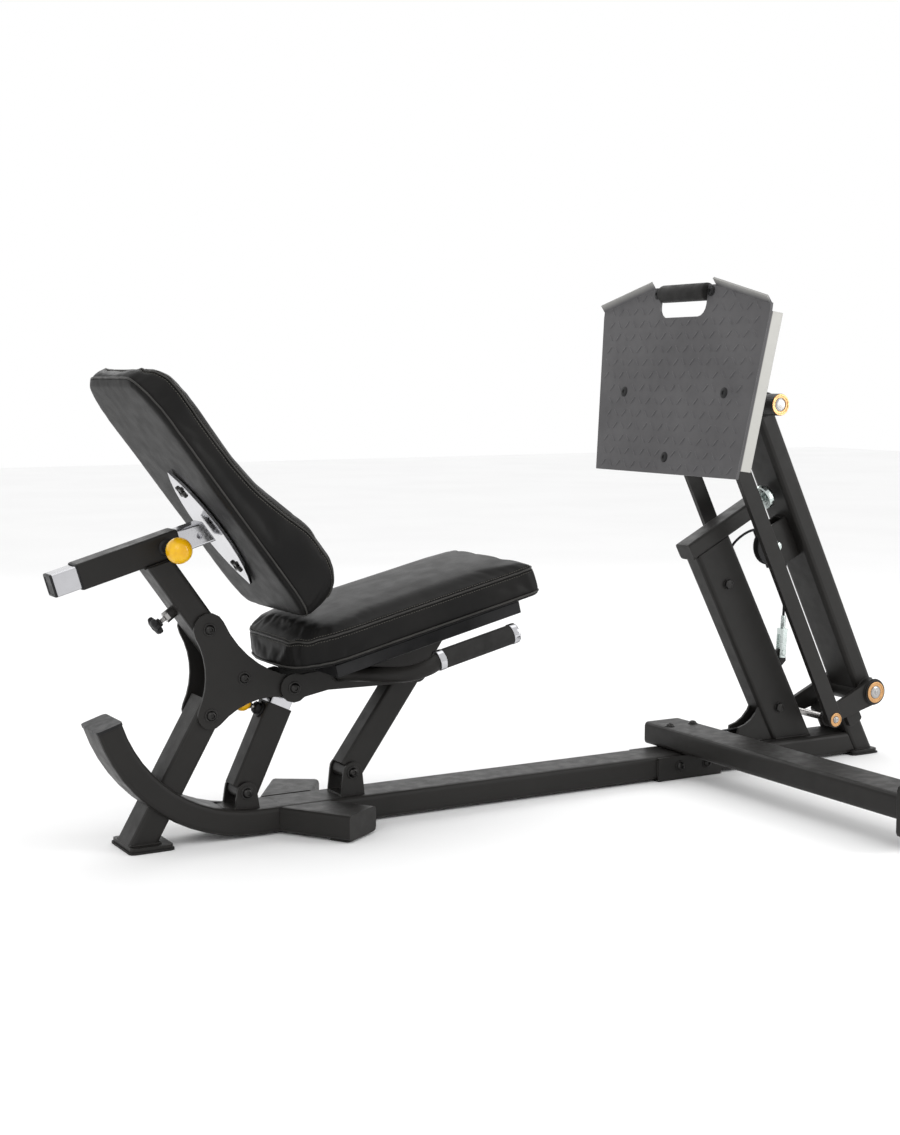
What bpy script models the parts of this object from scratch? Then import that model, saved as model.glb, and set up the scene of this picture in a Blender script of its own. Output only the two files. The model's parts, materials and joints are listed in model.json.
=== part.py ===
"""Leg press bench for a home gym: a four-bar press with a cable drive, and a reclining seat.

Frame: metres, +Z up. The origin is on the floor at the centre of the rear foot, on the machine's
centre plane (y = 0). +X runs from the seat to the foot plate, +Y is the user's left.
"""

import math

import bmesh
import bpy
from mathutils import Matrix, Vector

# ---------------------------------------------------------------- driving dimensions
GAP = 0.0003  # between pieces that touch
WALL = 0.003  # wall of every steel tube

RAIL_WIDE = 0.1016  # base tube, laid flat
RAIL_TALL = 0.0508
RAIL_LIFT = 0.004  # the rail's underside above the floor
RAIL_SPLICE_X = 1.180
TUBE_CORNER = 0.009

TAIL_CENTRE_X = 0.215
TAIL_INNER_R = 0.280
TAIL_SWEEP = math.radians(72)
TAIL_STRAIGHT = 0.060  # straight piece between the bend and the rail
TAIL_CAP = 0.006

OUTRIGGER_X = 0.3226  # where an outrigger's centre line crosses the rail's side
OUTRIGGER_REACH = 0.128
OUTRIGGER_ANGLE = math.radians(33)

REAR_LEAN = math.radians(30)
REAR_WIDE = 0.0762  # 3 x 2 inch tube across the machine
REAR_DEEP = 0.0508
REAR_FOOT_LONG = 0.085
REAR_FOOT_WIDE = 0.112
FOOT_PLATE_THICK = 0.007
PAD_THICK = 0.0037

PIVOT_A = (0.126, 0.248)  # gusset plates on the rear post
RECLINE_TOP = (0.125, 0.4145)  # upper bolt of the back post
BACK_LEAN = math.radians(35.3)
PIVOT_B = (0.298, 0.288)  # seat, gusset plates and strut
PIVOT_C = (0.573, 0.295)  # seat and front link
PIVOT_D = (0.433, 0.101)  # front link on the rail
PIVOT_E = (0.203, 0.086)  # strut on the rail
GUSSET_PLAY = 0.0004  # post to gusset plate
SEAT_PLATE_PLAY = 0.0010  # gusset plate to seat plate
GUSSET_IN = REAR_WIDE / 2 + GUSSET_PLAY  # inner face of a gusset plate
PLATE = 0.006
SEAT_PLATE_IN = GUSSET_IN + PLATE + SEAT_PLATE_PLAY
BOLT_R = 0.006
STRUT_PLAY = 0.0020  # clearance at the two pivots where the linkage is opened
LINK_PLAY = 0.0020
PIN_TIP = 0.0030  # a pull pin's tip stays in the wall, clear of the tube that slides

SLEEVE_START = (-0.118, 0.5265)
SLEEVE_RISE = math.radians(16.2)
SLEEVE_LONG = 0.200
SLIDE_SIZE = 0.0440
SLIDE_PLAY = 0.0004  # slide tube to the inside of its sleeve
SLEEVE_SIZE = SLIDE_SIZE + 2 * (WALL + SLIDE_PLAY)
SLIDE_BEHIND = 0.050
SLIDE_LONG = 0.330
BACK_TILT = math.radians(36.8)  # backrest from the vertical
BACK_PAD_LONG = 0.584
BACK_PAD_WIDE = 0.345
BACK_PAD_THICK = 0.076
LUMBAR = 0.045  # the swell for the small of the back
LUMBAR_AT = -0.112  # its middle, along the pad from the slide tube
LUMBAR_REACH = 0.125
BACK_PAD_BELOW = 0.228  # pad's lower end below the slide tube
BACK_PAD_DOME = 0.024  # how far each end swells past its rear edge
BACK_PAD_CORNER_TOP = 0.105
BACK_PAD_CORNER_LOW = 0.080
MOUNT_LONG = 0.278
MOUNT_WIDE = 0.118
MOUNT_THICK = 0.006
MOUNT_RECESS = 0.004

SEAT_RISE = math.radians(13.5)
SEAT_START = (0.268, 0.3255)  # rear lower edge of the seat pad
SEAT_LONG = 0.555
SEAT_CORNER_REAR = 0.110
SEAT_CORNER_FRONT = 0.035
SEAT_WIDE = 0.345
SEAT_THICK = 0.068
SEAT_CROWN = 0.022
BOARD_THICK = 0.026
BOARD_WIDE = 0.290

HANDLE_Y = 0.215
HANDLE_R = 0.0155
GRIP_R = 0.0195
GRIP_LONG = 0.180

TOWER_FOOT_X = 1.613
TOWER_LEAN = math.radians(27.6)
TOWER_DEEP = 0.1016
TOWER_WIDE = 0.0508
TOWER_TOP = 0.5785  # along the post from the floor
HEAD_TALL = 0.038
HEAD_REAR = -0.0605  # rear end, across the post
HEAD_FRONT = 0.160

STUB_FOOT_X = 1.788
STUB_TOP = 0.118
STUB_FOOT_WIDE = 0.122
STUB_FLANGE_X = 1.780
STUB_FLANGE_LONG = 0.075

PIVOT_P = (1.789, 0.151)  # arm axle
PIVOT_Q = (1.649, 0.102)  # link axle
ARM_LONG = 0.757
ARM_LEAN = math.radians(26.0)
ARM_WIDE = 0.1016
ARM_DEEP = 0.0508
LOW_HUB_R = 0.030
LOW_HUB_HALF = 0.0625
TOP_HUB_R = 0.027
TOP_HUB_HALF = 0.0525
AXLE_R = 0.0148
GROUND_PLATE_IN = 0.0635
GROUND_PLATE_THICK = 0.010
BOSS_END = 0.0795
LINK_WIDE = 0.038
LINK_THICK = 0.012
LINK_Y = 0.0943
PIN_R = 0.008

PULLEY_R = 0.045
PULLEY_THICK = 0.020
ARM_PULLEY_AT = 0.431711  # along the arm from its axle
BRACKET_WALL = 0.005
BRACKET_PLAY = 0.001904  # pulley rim to the bracket's back
TOWER_PULLEY_R = 0.042
UPPER_PULLEY_AT = 0.484  # along the tower post
LOWER_PULLEY_AT = 0.148
TOWER_PULLEY_BACK = 0.004  # behind the post's centre line
GROOVE = 0.008
CABLE_R = 0.0030

PLATE_FOOT = (1.216, 0.680)  # lower edge of the foot plate
PLATE_TILT = math.radians(7.8)
PLATE_TALL = 0.353
PLATE_LOW_HALF = 0.258
PLATE_TOP_HALF = 0.300
PLATE_PEAK = 0.062  # the top edge's rise to the handle
PLATE_FLANGE = 0.034
PLATE_LIP = 0.020
PLATE_THICK = 0.006
HANDLE_NOTCH_HALF = 0.084
HANDLE_NOTCH_DEEP = 0.048
HANDLE_PEAK_HALF = 0.110
PRESS_GRIP_R = 0.0195

BEAM_X = 1.290
BEAM_FAR_Y = 0.085
BEAM_NEAR_Y = -0.760
FLANGE_THICK = 0.008
FLANGE_WIDE = 0.150
FLANGE_TALL = 0.100

# ---------------------------------------------------------------- derived places
RAIL_TOP = RAIL_LIFT + RAIL_TALL
TAIL_CENTRE_Z = RAIL_TOP + TAIL_INNER_R
RAIL_CENTRE_Z = RAIL_LIFT + RAIL_TALL / 2
BEAM_CENTRE_Z = RAIL_TOP + GAP + RAIL_TALL / 2


def up(lean, distance=1.0):
    """XZ step along a member that leans back by `lean` from the vertical."""
    return Vector((-math.sin(lean) * distance, math.cos(lean) * distance))


def shift(point, step):
    return (point[0] + step[0], point[1] + step[1])


def xz(point, y=0.0):
    return Vector((point[0], y, point[1]))


PIVOT_U = shift(PIVOT_P, up(ARM_LEAN, ARM_LONG))
PIVOT_V = shift(PIVOT_Q, up(ARM_LEAN, ARM_LONG))


def behind_arm(along, distance):
    """XZ point behind the arm's centre line, on the seat's side."""
    on_arm = shift(PIVOT_P, up(ARM_LEAN, along))
    return shift(on_arm, (-math.cos(ARM_LEAN) * distance, -math.sin(ARM_LEAN) * distance))


ARM_PULLEY = behind_arm(ARM_PULLEY_AT, ARM_DEEP / 2 + GAP + BRACKET_WALL + BRACKET_PLAY + PULLEY_R)


# ---------------------------------------------------------------- helpers
def clear_scene():
    for obj in list(bpy.data.objects):
        bpy.data.objects.remove(obj, do_unlink=True)


def material(name, colour, roughness, metallic):
    made = bpy.data.materials.new(name)
    made.use_nodes = True
    shader = made.node_tree.nodes["Principled BSDF"]
    shader.inputs["Base Color"].default_value = (*colour, 1.0)
    shader.inputs["Roughness"].default_value = roughness
    shader.inputs["Metallic"].default_value = metallic
    return made


def keep(bm, name, finish, origin=(0, 0, 0), smooth=30):
    """Turns a bmesh in world coordinates into a named object whose origin is at `origin`."""
    bmesh.ops.remove_doubles(bm, verts=bm.verts, dist=1e-6)
    bmesh.ops.recalc_face_normals(bm, faces=bm.faces)
    if bm.calc_volume(signed=True) < 0:
        bmesh.ops.reverse_faces(bm, faces=bm.faces)
    place = Vector(origin)
    bmesh.ops.translate(bm, verts=bm.verts, vec=-place)
    mesh = bpy.data.meshes.new(name)
    bm.to_mesh(mesh)
    bm.free()
    mesh.shade_smooth()
    mesh.set_sharp_from_angle(angle=math.radians(smooth))
    mesh.materials.append(finish)
    obj = bpy.data.objects.new(name, mesh)
    obj.location = place
    bpy.context.scene.collection.objects.link(obj)
    return obj


def loop_faces(bm, loops, close_first=True, close_last=True):
    """Skins between equal vertex loops and fills the first and the last."""
    for one, two in zip(loops, loops[1:]):
        count = len(one)
        for i in range(count):
            j = (i + 1) % count
            bm.faces.new((one[i], one[j], two[j], two[i]))
    if close_first:
        bm.faces.new(loops[0])
    if close_last:
        bm.faces.new(loops[-1])


def ring(bm, points):
    return [bm.verts.new(p) for p in points]


def bridge_rings(bm, outer, inner):
    count = len(outer)
    for i in range(count):
        j = (i + 1) % count
        bm.faces.new((outer[i], outer[j], inner[j], inner[i]))


def rounded_rect(width, height, radius, steps=3):
    """Points of a rounded rectangle about the origin, as (across, up) pairs."""
    points = []
    for k in range(4):
        sx = (1, -1, -1, 1)[k]
        sy = (1, 1, -1, -1)[k]
        centre = (sx * (width / 2 - radius), sy * (height / 2 - radius))
        for i in range(steps + 1):
            angle = math.pi / 2 * (k + i / steps)
            points.append((centre[0] + radius * math.cos(angle), centre[1] + radius * math.sin(angle)))
    return points


def section(profile, centre, side, over):
    return [centre + side * a + over * b for a, b in profile]


def square_tube(name, finish, start, end, width, depth, corner=TUBE_CORNER, wall=WALL,
                closed_start=False, closed_end=False, side=(0, 1, 0), origin=None):
    """A rectangular tube from start to end; `width` lies along `side`, `depth` across it."""
    start = Vector(start)
    end = Vector(end)
    along = (end - start).normalized()
    side = Vector(side).normalized()
    over = along.cross(side).normalized()
    bm = bmesh.new()
    outer = rounded_rect(width, depth, corner)
    inner = rounded_rect(width - 2 * wall, depth - 2 * wall, max(corner - wall, 0.001))
    inner_start = start + along * (wall if closed_start else 0)
    inner_end = end - along * (wall if closed_end else 0)
    o1 = ring(bm, section(outer, start, side, over))
    o2 = ring(bm, section(outer, end, side, over))
    i1 = ring(bm, section(inner, inner_start, side, over))
    i2 = ring(bm, section(inner, inner_end, side, over))
    loop_faces(bm, [o1, o2], closed_start, closed_end)
    loop_faces(bm, [i1, i2], closed_start, closed_end)
    if not closed_start:
        bridge_rings(bm, o1, i1)
    if not closed_end:
        bridge_rings(bm, o2, i2)
    return keep(bm, name, finish, start if origin is None else origin)


def solid_block(name, finish, start, end, width, depth, corner=0.002, side=(0, 1, 0), steps=1):
    start = Vector(start)
    end = Vector(end)
    along = (end - start).normalized()
    side = Vector(side).normalized()
    over = along.cross(side).normalized()
    bm = bmesh.new()
    outer = rounded_rect(width, depth, corner, steps)
    loop_faces(bm, [ring(bm, section(outer, start, side, over)), ring(bm, section(outer, end, side, over))])
    return keep(bm, name, finish, start)


def turned(name, finish, base, axis, profile, segments=24, origin=None, smooth=30):
    """Revolves (radius, along) pairs about the axis through `base`; a zero radius closes the end."""
    base = Vector(base)
    axis = Vector(axis).normalized()
    side = axis.orthogonal().normalized()
    over = axis.cross(side)
    bm = bmesh.new()
    rings = []
    for radius, along in profile:
        centre = base + axis * along
        if radius == 0:
            rings.append([bm.verts.new(centre)])
            continue
        points = []
        for i in range(segments):
            angle = 2 * math.pi * i / segments
            points.append(centre + side * (radius * math.cos(angle)) + over * (radius * math.sin(angle)))
        rings.append(ring(bm, points))
    for one, two in zip(rings, rings[1:]):
        for i in range(segments):
            j = (i + 1) % segments
            if len(one) == 1:
                bm.faces.new((one[0], two[j], two[i]))
            elif len(two) == 1:
                bm.faces.new((one[i], one[j], two[0]))
            else:
                bm.faces.new((one[i], one[j], two[j], two[i]))
    if len(rings[0]) > 1 and rings[0] is not rings[-1]:
        closed_profile = profile[0] == profile[-1]
        if not closed_profile:
            bm.faces.new(rings[0])
            bm.faces.new(rings[-1])
    return keep(bm, name, finish, base if origin is None else origin, smooth)


def plate_xz(name, finish, outline, y_from, y_to, origin=None):
    """A flat plate: an XZ outline extruded along Y."""
    bm = bmesh.new()
    loops = [ring(bm, [xz(p, y_from) for p in outline]), ring(bm, [xz(p, y_to) for p in outline])]
    loop_faces(bm, loops)
    return keep(bm, name, finish, (0, 0, 0) if origin is None else origin)


def modifier(obj, other, operation):
    made = obj.modifiers.new(operation.lower() + "_" + other.name, "BOOLEAN")
    made.operation = operation
    made.solver = "EXACT"
    made.object = other
    other.hide_render = True
    other.display_type = "WIRE"
    return made


def cut(obj, cutter):
    modifier(obj, cutter, "DIFFERENCE")


def weld(obj, piece):
    """Joins a piece to a weldment."""
    modifier(obj, piece, "UNION")


def helper_name(obj, what):
    return "zz_" + obj.name + "_" + what + str(len(obj.modifiers))


def drill(obj, point, radius, half_long, axis=(0, 1, 0), segments=20):
    """A round hole through a piece, centred on `point`."""
    axis = Vector(axis).normalized()
    cutter = turned(helper_name(obj, "hole"), STEEL, Vector(point) - axis * half_long, axis,
                    [(radius, 0), (radius, 2 * half_long)], segments)
    cut(obj, cutter)


def cut_box(obj, low, high):
    """Takes a box away, given by its lowest and highest corners."""
    low = Vector(low)
    high = Vector(high)
    middle = (low + high) / 2
    cutter = solid_block(helper_name(obj, "box"), STEEL, (low.x, middle.y, middle.z),
                         (high.x, middle.y, middle.z), high.y - low.y, high.z - low.z, 0.0005)
    cut(obj, cutter)


def arc(centre, radius, first, last, steps):
    """Points on a circle, from angle `first` to `last`."""
    points = []
    for i in range(steps + 1):
        angle = first + (last - first) * i / steps
        points.append((centre[0] + radius * math.cos(angle), centre[1] + radius * math.sin(angle)))
    return points


def hollow_between(one, r1, two, r2, radius):
    """Centre of the circle outside both lobes that touches each of them, on the right of one to two."""
    gap = Vector(two) - Vector(one)
    span = gap.length
    a = radius + r1
    b = radius + r2
    along = (a * a - b * b + span * span) / (2 * span)
    out = math.sqrt(max(a * a - along * along, 0))
    unit = gap / span
    right = Vector((unit.y, -unit.x))
    return Vector(one) + unit * along + right * out


def lobed_outline(lobes, hollows, steps=6):
    """Outline of round lobes, taken anticlockwise, joined by hollow arcs that touch them.

    lobes is (centre, radius) pairs; hollows gives the radius after each lobe, or 0 for a straight edge.
    """
    count = len(lobes)
    ends = []
    for i in range(count):
        one, r1 = lobes[i]
        two, r2 = lobes[(i + 1) % count]
        if hollows[i]:
            centre = hollow_between(one, r1, two, r2, hollows[i])
            ends.append((Vector(centre), hollows[i]))
        else:
            ends.append((None, 0))
    points = []
    for i in range(count):
        centre, radius = lobes[i]
        centre = Vector(centre)
        before = ends[i - 1]
        after = ends[i]
        first = touch_angle(centre, radius, lobes[i - 1], before, arriving=True)
        last = touch_angle(centre, radius, lobes[(i + 1) % count], after, arriving=False)
        while last < first:
            last += 2 * math.pi
        points += arc(centre, radius, first, last, steps)
        if after[0] is not None:
            hollow, hollow_r = after
            two, r2 = lobes[(i + 1) % count]
            a1 = math.atan2(centre.y - hollow.y, centre.x - hollow.x)
            a2 = math.atan2(two[1] - hollow.y, two[0] - hollow.x)
            while a2 > a1:
                a2 -= 2 * math.pi
            points += arc(hollow, hollow_r, a1, a2, steps)[1:-1]
    return points


def touch_angle(centre, radius, other, hollow, arriving):
    """Angle on a lobe where the edge to its neighbour leaves or arrives."""
    if hollow[0] is not None:
        away = hollow[0] - centre
        return math.atan2(away.y, away.x)
    gap = Vector(other[0]) - centre
    swing = math.acos((radius - other[1]) / gap.length)
    heading = math.atan2(gap.y, gap.x)
    return heading + swing if arriving else heading - swing


# ---------------------------------------------------------------- base frame
def build_rails():
    rear_start = Vector((TAIL_CENTRE_X + TAIL_STRAIGHT + GAP, 0, RAIL_CENTRE_Z))
    splice = Vector((RAIL_SPLICE_X, 0, RAIL_CENTRE_Z))
    square_tube("base_rail_rear", FRAME, rear_start, splice, RAIL_WIDE, RAIL_TALL)
    front_start = splice + Vector((GAP, 0, 0))
    front_end = Vector((STUB_FOOT_X, 0, RAIL_CENTRE_Z))
    front = square_tube("base_rail_front", FRAME, front_start, front_end, RAIL_WIDE, RAIL_TALL)
    cut(front, leaning_block("zz_rail_end_cutter", STUB_FOOT_X, TOWER_LEAN, -0.03, 0.2,
                             RAIL_WIDE + 0.02, RAIL_TALL + 2 * GAP))
    flange_top = PAD_THICK + GAP + FOOT_PLATE_THICK + GAP
    cut_box(front, (STUB_FLANGE_X - STUB_FLANGE_LONG / 2 - GAP, -0.1, 0), (1.9, 0.1, flange_top))


def leaning_block(name, foot_x, lean, start, end, width, depth):
    """A cutter along a leaning member, given by where its centre line meets the floor."""
    low = xz(shift((foot_x, 0), up(lean, start)))
    high = xz(shift((foot_x, 0), up(lean, end)))
    return solid_block(name, STEEL, low, high, width, depth, 0.0005)


def tail_section(angle, radius):
    """A point on the tail at `angle` past the lowest point of its bend."""
    return Vector((TAIL_CENTRE_X - radius * math.sin(angle), 0, TAIL_CENTRE_Z - radius * math.cos(angle)))


def build_tail():
    bm = bmesh.new()
    middle = TAIL_INNER_R + RAIL_TALL / 2
    outer = rounded_rect(RAIL_WIDE, RAIL_TALL, TUBE_CORNER)
    inner = rounded_rect(RAIL_WIDE - 2 * WALL, RAIL_TALL - 2 * WALL, TUBE_CORNER - WALL)
    steps = 12
    outside = []
    inside = []
    for i in range(-1, steps + 1):
        angle = TAIL_SWEEP * max(i, 0) / steps
        centre = tail_section(angle, middle)
        if i < 0:
            centre.x += TAIL_STRAIGHT
        out = Vector((-math.sin(angle), 0, -math.cos(angle)))
        side = Vector((0, 1, 0))
        outside.append(ring(bm, section(outer, centre, side, out)))
        inside.append(ring(bm, section(inner, centre, side, out)))
    loop_faces(bm, outside, False, False)
    loop_faces(bm, inside, False, False)
    bridge_rings(bm, outside[0], inside[0])
    bridge_rings(bm, outside[-1], inside[-1])
    tail = keep(bm, "tail_tube", FRAME, (TAIL_CENTRE_X, 0, RAIL_CENTRE_Z))
    cut(tail, leaning_block("zz_rear_post_cutter", PIVOT_A[0] + math.tan(-REAR_LEAN) * PIVOT_A[1],
                            -REAR_LEAN, 0, 0.25, REAR_WIDE + 2 * GAP, REAR_DEEP + 2 * GAP))
    start = tail_section(TAIL_SWEEP, middle)
    away = Vector((-math.cos(TAIL_SWEEP), 0, math.sin(TAIL_SWEEP)))
    solid_block("tail_cap", PLASTIC, start + away * GAP, start + away * TAIL_CAP,
                RAIL_WIDE + 0.002, RAIL_TALL + 0.002, TUBE_CORNER, steps=3)


def build_outriggers():
    for name, way in (("near", -1), ("far", 1)):
        direction = Vector((math.sin(OUTRIGGER_ANGLE), way * math.cos(OUTRIGGER_ANGLE), 0))
        root = Vector((OUTRIGGER_X, way * RAIL_WIDE / 2, RAIL_CENTRE_Z))
        start = root - direction * 0.090
        end = root + direction * OUTRIGGER_REACH
        side = Vector((direction.y, -direction.x, 0))
        leg = square_tube("outrigger_" + name, FRAME, start, end, RAIL_WIDE, RAIL_TALL - 0.0008,
                          closed_end=True, side=side)
        cut_box(leg, (0, -RAIL_WIDE / 2 - GAP, 0), (1, RAIL_WIDE / 2 + GAP, 0.1))
        cut_box(leg, (0, -way * 0.3 if way > 0 else -0.0, 0), (1, 0.0 if way > 0 else 0.3, 0.1))
        foot = root + direction * (OUTRIGGER_REACH - 0.030)
        foot.z = 0
        top = Vector((foot.x, foot.y, RAIL_LIFT))
        solid_block("outrigger_pad_" + name, RUBBER, foot, top, 0.045, 0.085, 0.006,
                    side=direction, steps=2)


def build_rear_post():
    foot_x = PIVOT_A[0] - math.tan(REAR_LEAN) * PIVOT_A[1]
    base_z = PAD_THICK + GAP
    low = Vector((foot_x, 0, 0))
    along = Vector((math.sin(REAR_LEAN), 0, math.cos(REAR_LEAN)))
    high = xz(PIVOT_A) + along * 0.024
    post = square_tube("rear_post", FRAME, low - along * 0.02, high, REAR_WIDE, REAR_DEEP,
                       closed_end=True, origin=xz(PIVOT_A))
    cut_box(post, (-0.3, -0.2, -0.2), (0.3, 0.2, base_z + FOOT_PLATE_THICK / 2))
    flange = solid_block("zz_rear_flange", FRAME, (0, 0, base_z), (0, 0, base_z + FOOT_PLATE_THICK),
                         REAR_FOOT_WIDE, REAR_FOOT_LONG, 0.008, steps=2)
    weld(post, flange)
    drill(post, xz(PIVOT_A), BOLT_R + GAP, 0.1)
    solid_block("rear_foot_pad", RUBBER, (0, 0, 0), (0, 0, PAD_THICK),
                REAR_FOOT_WIDE + 0.006, REAR_FOOT_LONG + 0.006, 0.010, steps=2)


def build_stub_post():
    base_z = PAD_THICK + GAP
    low = xz(shift((STUB_FOOT_X, 0), up(TOWER_LEAN, -0.03)))
    high = xz(shift((STUB_FOOT_X, 0), up(TOWER_LEAN, STUB_TOP)))
    post = square_tube("stub_post", FRAME, low, high, RAIL_WIDE, RAIL_TALL, closed_end=True,
                       origin=(STUB_FOOT_X, 0, base_z))
    cut_box(post, (1.4, -0.2, -0.2), (2.1, 0.2, base_z + FOOT_PLATE_THICK / 2))
    flange_x = STUB_FLANGE_X
    flange = solid_block("zz_stub_flange", FRAME, (flange_x, 0, base_z),
                         (flange_x, 0, base_z + FOOT_PLATE_THICK), STUB_FOOT_WIDE, STUB_FLANGE_LONG,
                         0.008, steps=2)
    weld(post, flange)
    head = xz(shift((STUB_FOOT_X, 0), up(TOWER_LEAN, STUB_TOP - 0.012)))
    cross = solid_block("zz_stub_cross", FRAME, head - Vector((0, GROUND_PLATE_IN - GAP, 0)),
                        head + Vector((0, GROUND_PLATE_IN - GAP, 0)), 0.034, 0.040, 0.004,
                        side=xz(up(TOWER_LEAN)))
    weld(post, cross)
    drill(post, (flange_x, 0, base_z), 0.005, 0.02, (0, 0, 1), 12)
    solid_block("stub_foot_pad", RUBBER, (flange_x, 0, 0), (flange_x, 0, PAD_THICK),
                STUB_FOOT_WIDE + 0.006, 0.081, 0.010, steps=2)


def build_splice():
    """A U-shaped saddle that clasps the rail joint from below and both sides."""
    half = RAIL_WIDE / 2 + GAP
    low = RAIL_LIFT - GAP - 0.0030
    first = RAIL_SPLICE_X - 0.004
    last = RAIL_SPLICE_X + 0.170
    bm = bmesh.new()
    profile = [(half, RAIL_TOP - 0.002), (half, RAIL_LIFT - GAP), (-half, RAIL_LIFT - GAP),
               (-half, RAIL_TOP - 0.002), (-half - 0.005, RAIL_TOP - 0.002), (-half - 0.005, low),
               (half + 0.005, low), (half + 0.005, RAIL_TOP - 0.002)]
    loops = [ring(bm, [Vector((x, y, z)) for y, z in profile]) for x in (first, last)]
    loop_faces(bm, loops)
    keep(bm, "splice_saddle", FRAME, (RAIL_SPLICE_X, 0, RAIL_LIFT))


def build_cross_beam():
    start = Vector((BEAM_X, BEAM_FAR_Y, BEAM_CENTRE_Z))
    end = Vector((BEAM_X, BEAM_NEAR_Y, BEAM_CENTRE_Z))
    beam = square_tube("cross_beam", FRAME, start, end, RAIL_WIDE, RAIL_TALL, closed_start=True,
                       side=(1, 0, 0), origin=(BEAM_X, 0, BEAM_CENTRE_Z))
    flange = solid_block("zz_beam_flange", FRAME, end + Vector((0, FLANGE_THICK, 0)), end,
                         FLANGE_WIDE, FLANGE_TALL, 0.010, side=(1, 0, 0), steps=2)
    weld(beam, flange)
    cut_box(beam, (BEAM_X - 0.030, BEAM_NEAR_Y - 0.01, BEAM_CENTRE_Z - 0.012),
            (BEAM_X + 0.030, BEAM_NEAR_Y + 0.02, BEAM_CENTRE_Z + 0.012))
    # Slot in the tower side where the cable enters.
    cut_box(beam, (BEAM_X + 0.030, -0.012, BEAM_CENTRE_Z - 0.012),
            (BEAM_X + RAIL_WIDE / 2 + 0.010, 0.012, BEAM_CENTRE_Z + 0.012))


# ---------------------------------------------------------------- tower
def tower_point(along, across=0.0, y=0.0):
    """A point in the tower's own directions: up the post and towards the foot plate's side."""
    x = TOWER_FOOT_X - math.sin(TOWER_LEAN) * along + math.cos(TOWER_LEAN) * across
    z = math.cos(TOWER_LEAN) * along + math.sin(TOWER_LEAN) * across
    return Vector((x, y, z))


def build_tower():
    post = square_tube("tower_post", FRAME, tower_point(0), tower_point(TOWER_TOP), TOWER_WIDE,
                       TOWER_DEEP, origin=tower_point(0.062))
    # Slots where the cable leaves the post at the top and enters the beam at the bottom.
    top_slot = tower_point(0.545, TOWER_DEEP / 2)
    cut_box(post, (top_slot.x - 0.030, -0.010, top_slot.z - 0.030),
            (top_slot.x + 0.030, 0.010, top_slot.z + 0.030))
    cut_box(post, (1.40, -0.012, BEAM_CENTRE_Z - 0.014), (1.545, 0.012, BEAM_CENTRE_Z + 0.014))
    for way in (-1, 1):
        y_in = way * 0.013
        y_out = way * (0.013 + PLATE)
        outline = [tuple(tower_point(0.072, -0.045).xz), tuple(tower_point(0.165, -0.045).xz)]
        outline += arc((1.418, 0.168), 0.078, math.radians(10), math.radians(-82), 6)
        outline += [(1.426, RAIL_TOP + GAP), (1.500, RAIL_TOP + GAP)]
        rib = plate_xz("zz_tower_rib" + str(way), FRAME, outline, min(y_in, y_out), max(y_in, y_out))
        weld(post, rib)
    lug_at = tower_point(0.235, TOWER_DEEP / 2)
    along = tower_point(1) - tower_point(0)
    across = (tower_point(0, 1) - tower_point(0, 0))
    lug = plate_xz("zz_cable_lug", FRAME,
                   [tuple((lug_at - along * 0.020 - across * 0.004).xz),
                    tuple((lug_at - along * 0.012 + across * 0.026).xz),
                    tuple((lug_at + along * 0.012 + across * 0.036).xz),
                    tuple((lug_at + along * 0.024 + across * 0.020).xz),
                    tuple((lug_at + along * 0.024 - across * 0.004).xz)], -0.004, 0.004)
    weld(post, lug)
    cut_box(post, (1.3, -0.2, -0.2), (2.0, 0.2, RAIL_TOP + GAP))
    for along_post in (UPPER_PULLEY_AT, LOWER_PULLEY_AT):
        drill(post, tower_point(along_post, -TOWER_PULLEY_BACK), 0.0062, 0.1, segments=12)
    head_mid = TOWER_TOP + GAP + HEAD_TALL / 2
    square_tube("tower_head", FRAME, tower_point(head_mid, HEAD_REAR), tower_point(head_mid, HEAD_FRONT),
                TOWER_WIDE, HEAD_TALL, closed_start=True, closed_end=True, corner=0.007,
                origin=tower_point(head_mid))
    drill(bpy.data.objects["tower_head"], tower_point(head_mid, HEAD_FRONT), 0.0065, 0.012, across)
    nose = tower_point(head_mid, HEAD_FRONT)
    turned("stop_bumper", ZINC, nose, across,
           [(0, -0.010), (0.006, -0.010), (0.006, 0.0003), (0.012, 0.0003), (0.012, 0.009), (0.007, 0.009),
            (0.007, 0.022), (0.027, 0.024), (0.028, 0.028), (0.028, 0.036), (0.022, 0.0445), (0, 0.0445)])


def build_pulleys():
    """The arm pulley turns on a bolt; each tower pulley has its axle stubs through the post's walls."""
    half = PULLEY_THICK / 2
    groove = PULLEY_R - GROOVE
    bore = 0.0062
    turned("arm_pulley", PLASTIC, xz(ARM_PULLEY), (0, 1, 0),
           [(bore, -half), (PULLEY_R, -half), (PULLEY_R, -half + 0.003), (groove, -0.0035), (groove, 0.0035),
            (PULLEY_R, half - 0.003), (PULLEY_R, half), (bore, half), (bore, -half)], 28)
    groove = TOWER_PULLEY_R - GROOVE
    stub = TOWER_WIDE / 2 + 0.001
    head = stub + 0.006
    for name, along_post in (("tower_pulley_upper", UPPER_PULLEY_AT),
                             ("tower_pulley_lower", LOWER_PULLEY_AT)):
        turned(name, PLASTIC, tower_point(along_post, -TOWER_PULLEY_BACK), (0, 1, 0),
               [(0, -head), (0.0085, -head), (0.0085, -stub), (0.0058, -stub), (0.0058, -half),
                (TOWER_PULLEY_R, -half), (TOWER_PULLEY_R, -half + 0.003), (groove, -0.0035),
                (groove, 0.0035), (TOWER_PULLEY_R, half - 0.003), (TOWER_PULLEY_R, half), (0.0058, half),
                (0.0058, stub), (0.0085, stub), (0.0085, head), (0, head)], 24)


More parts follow.
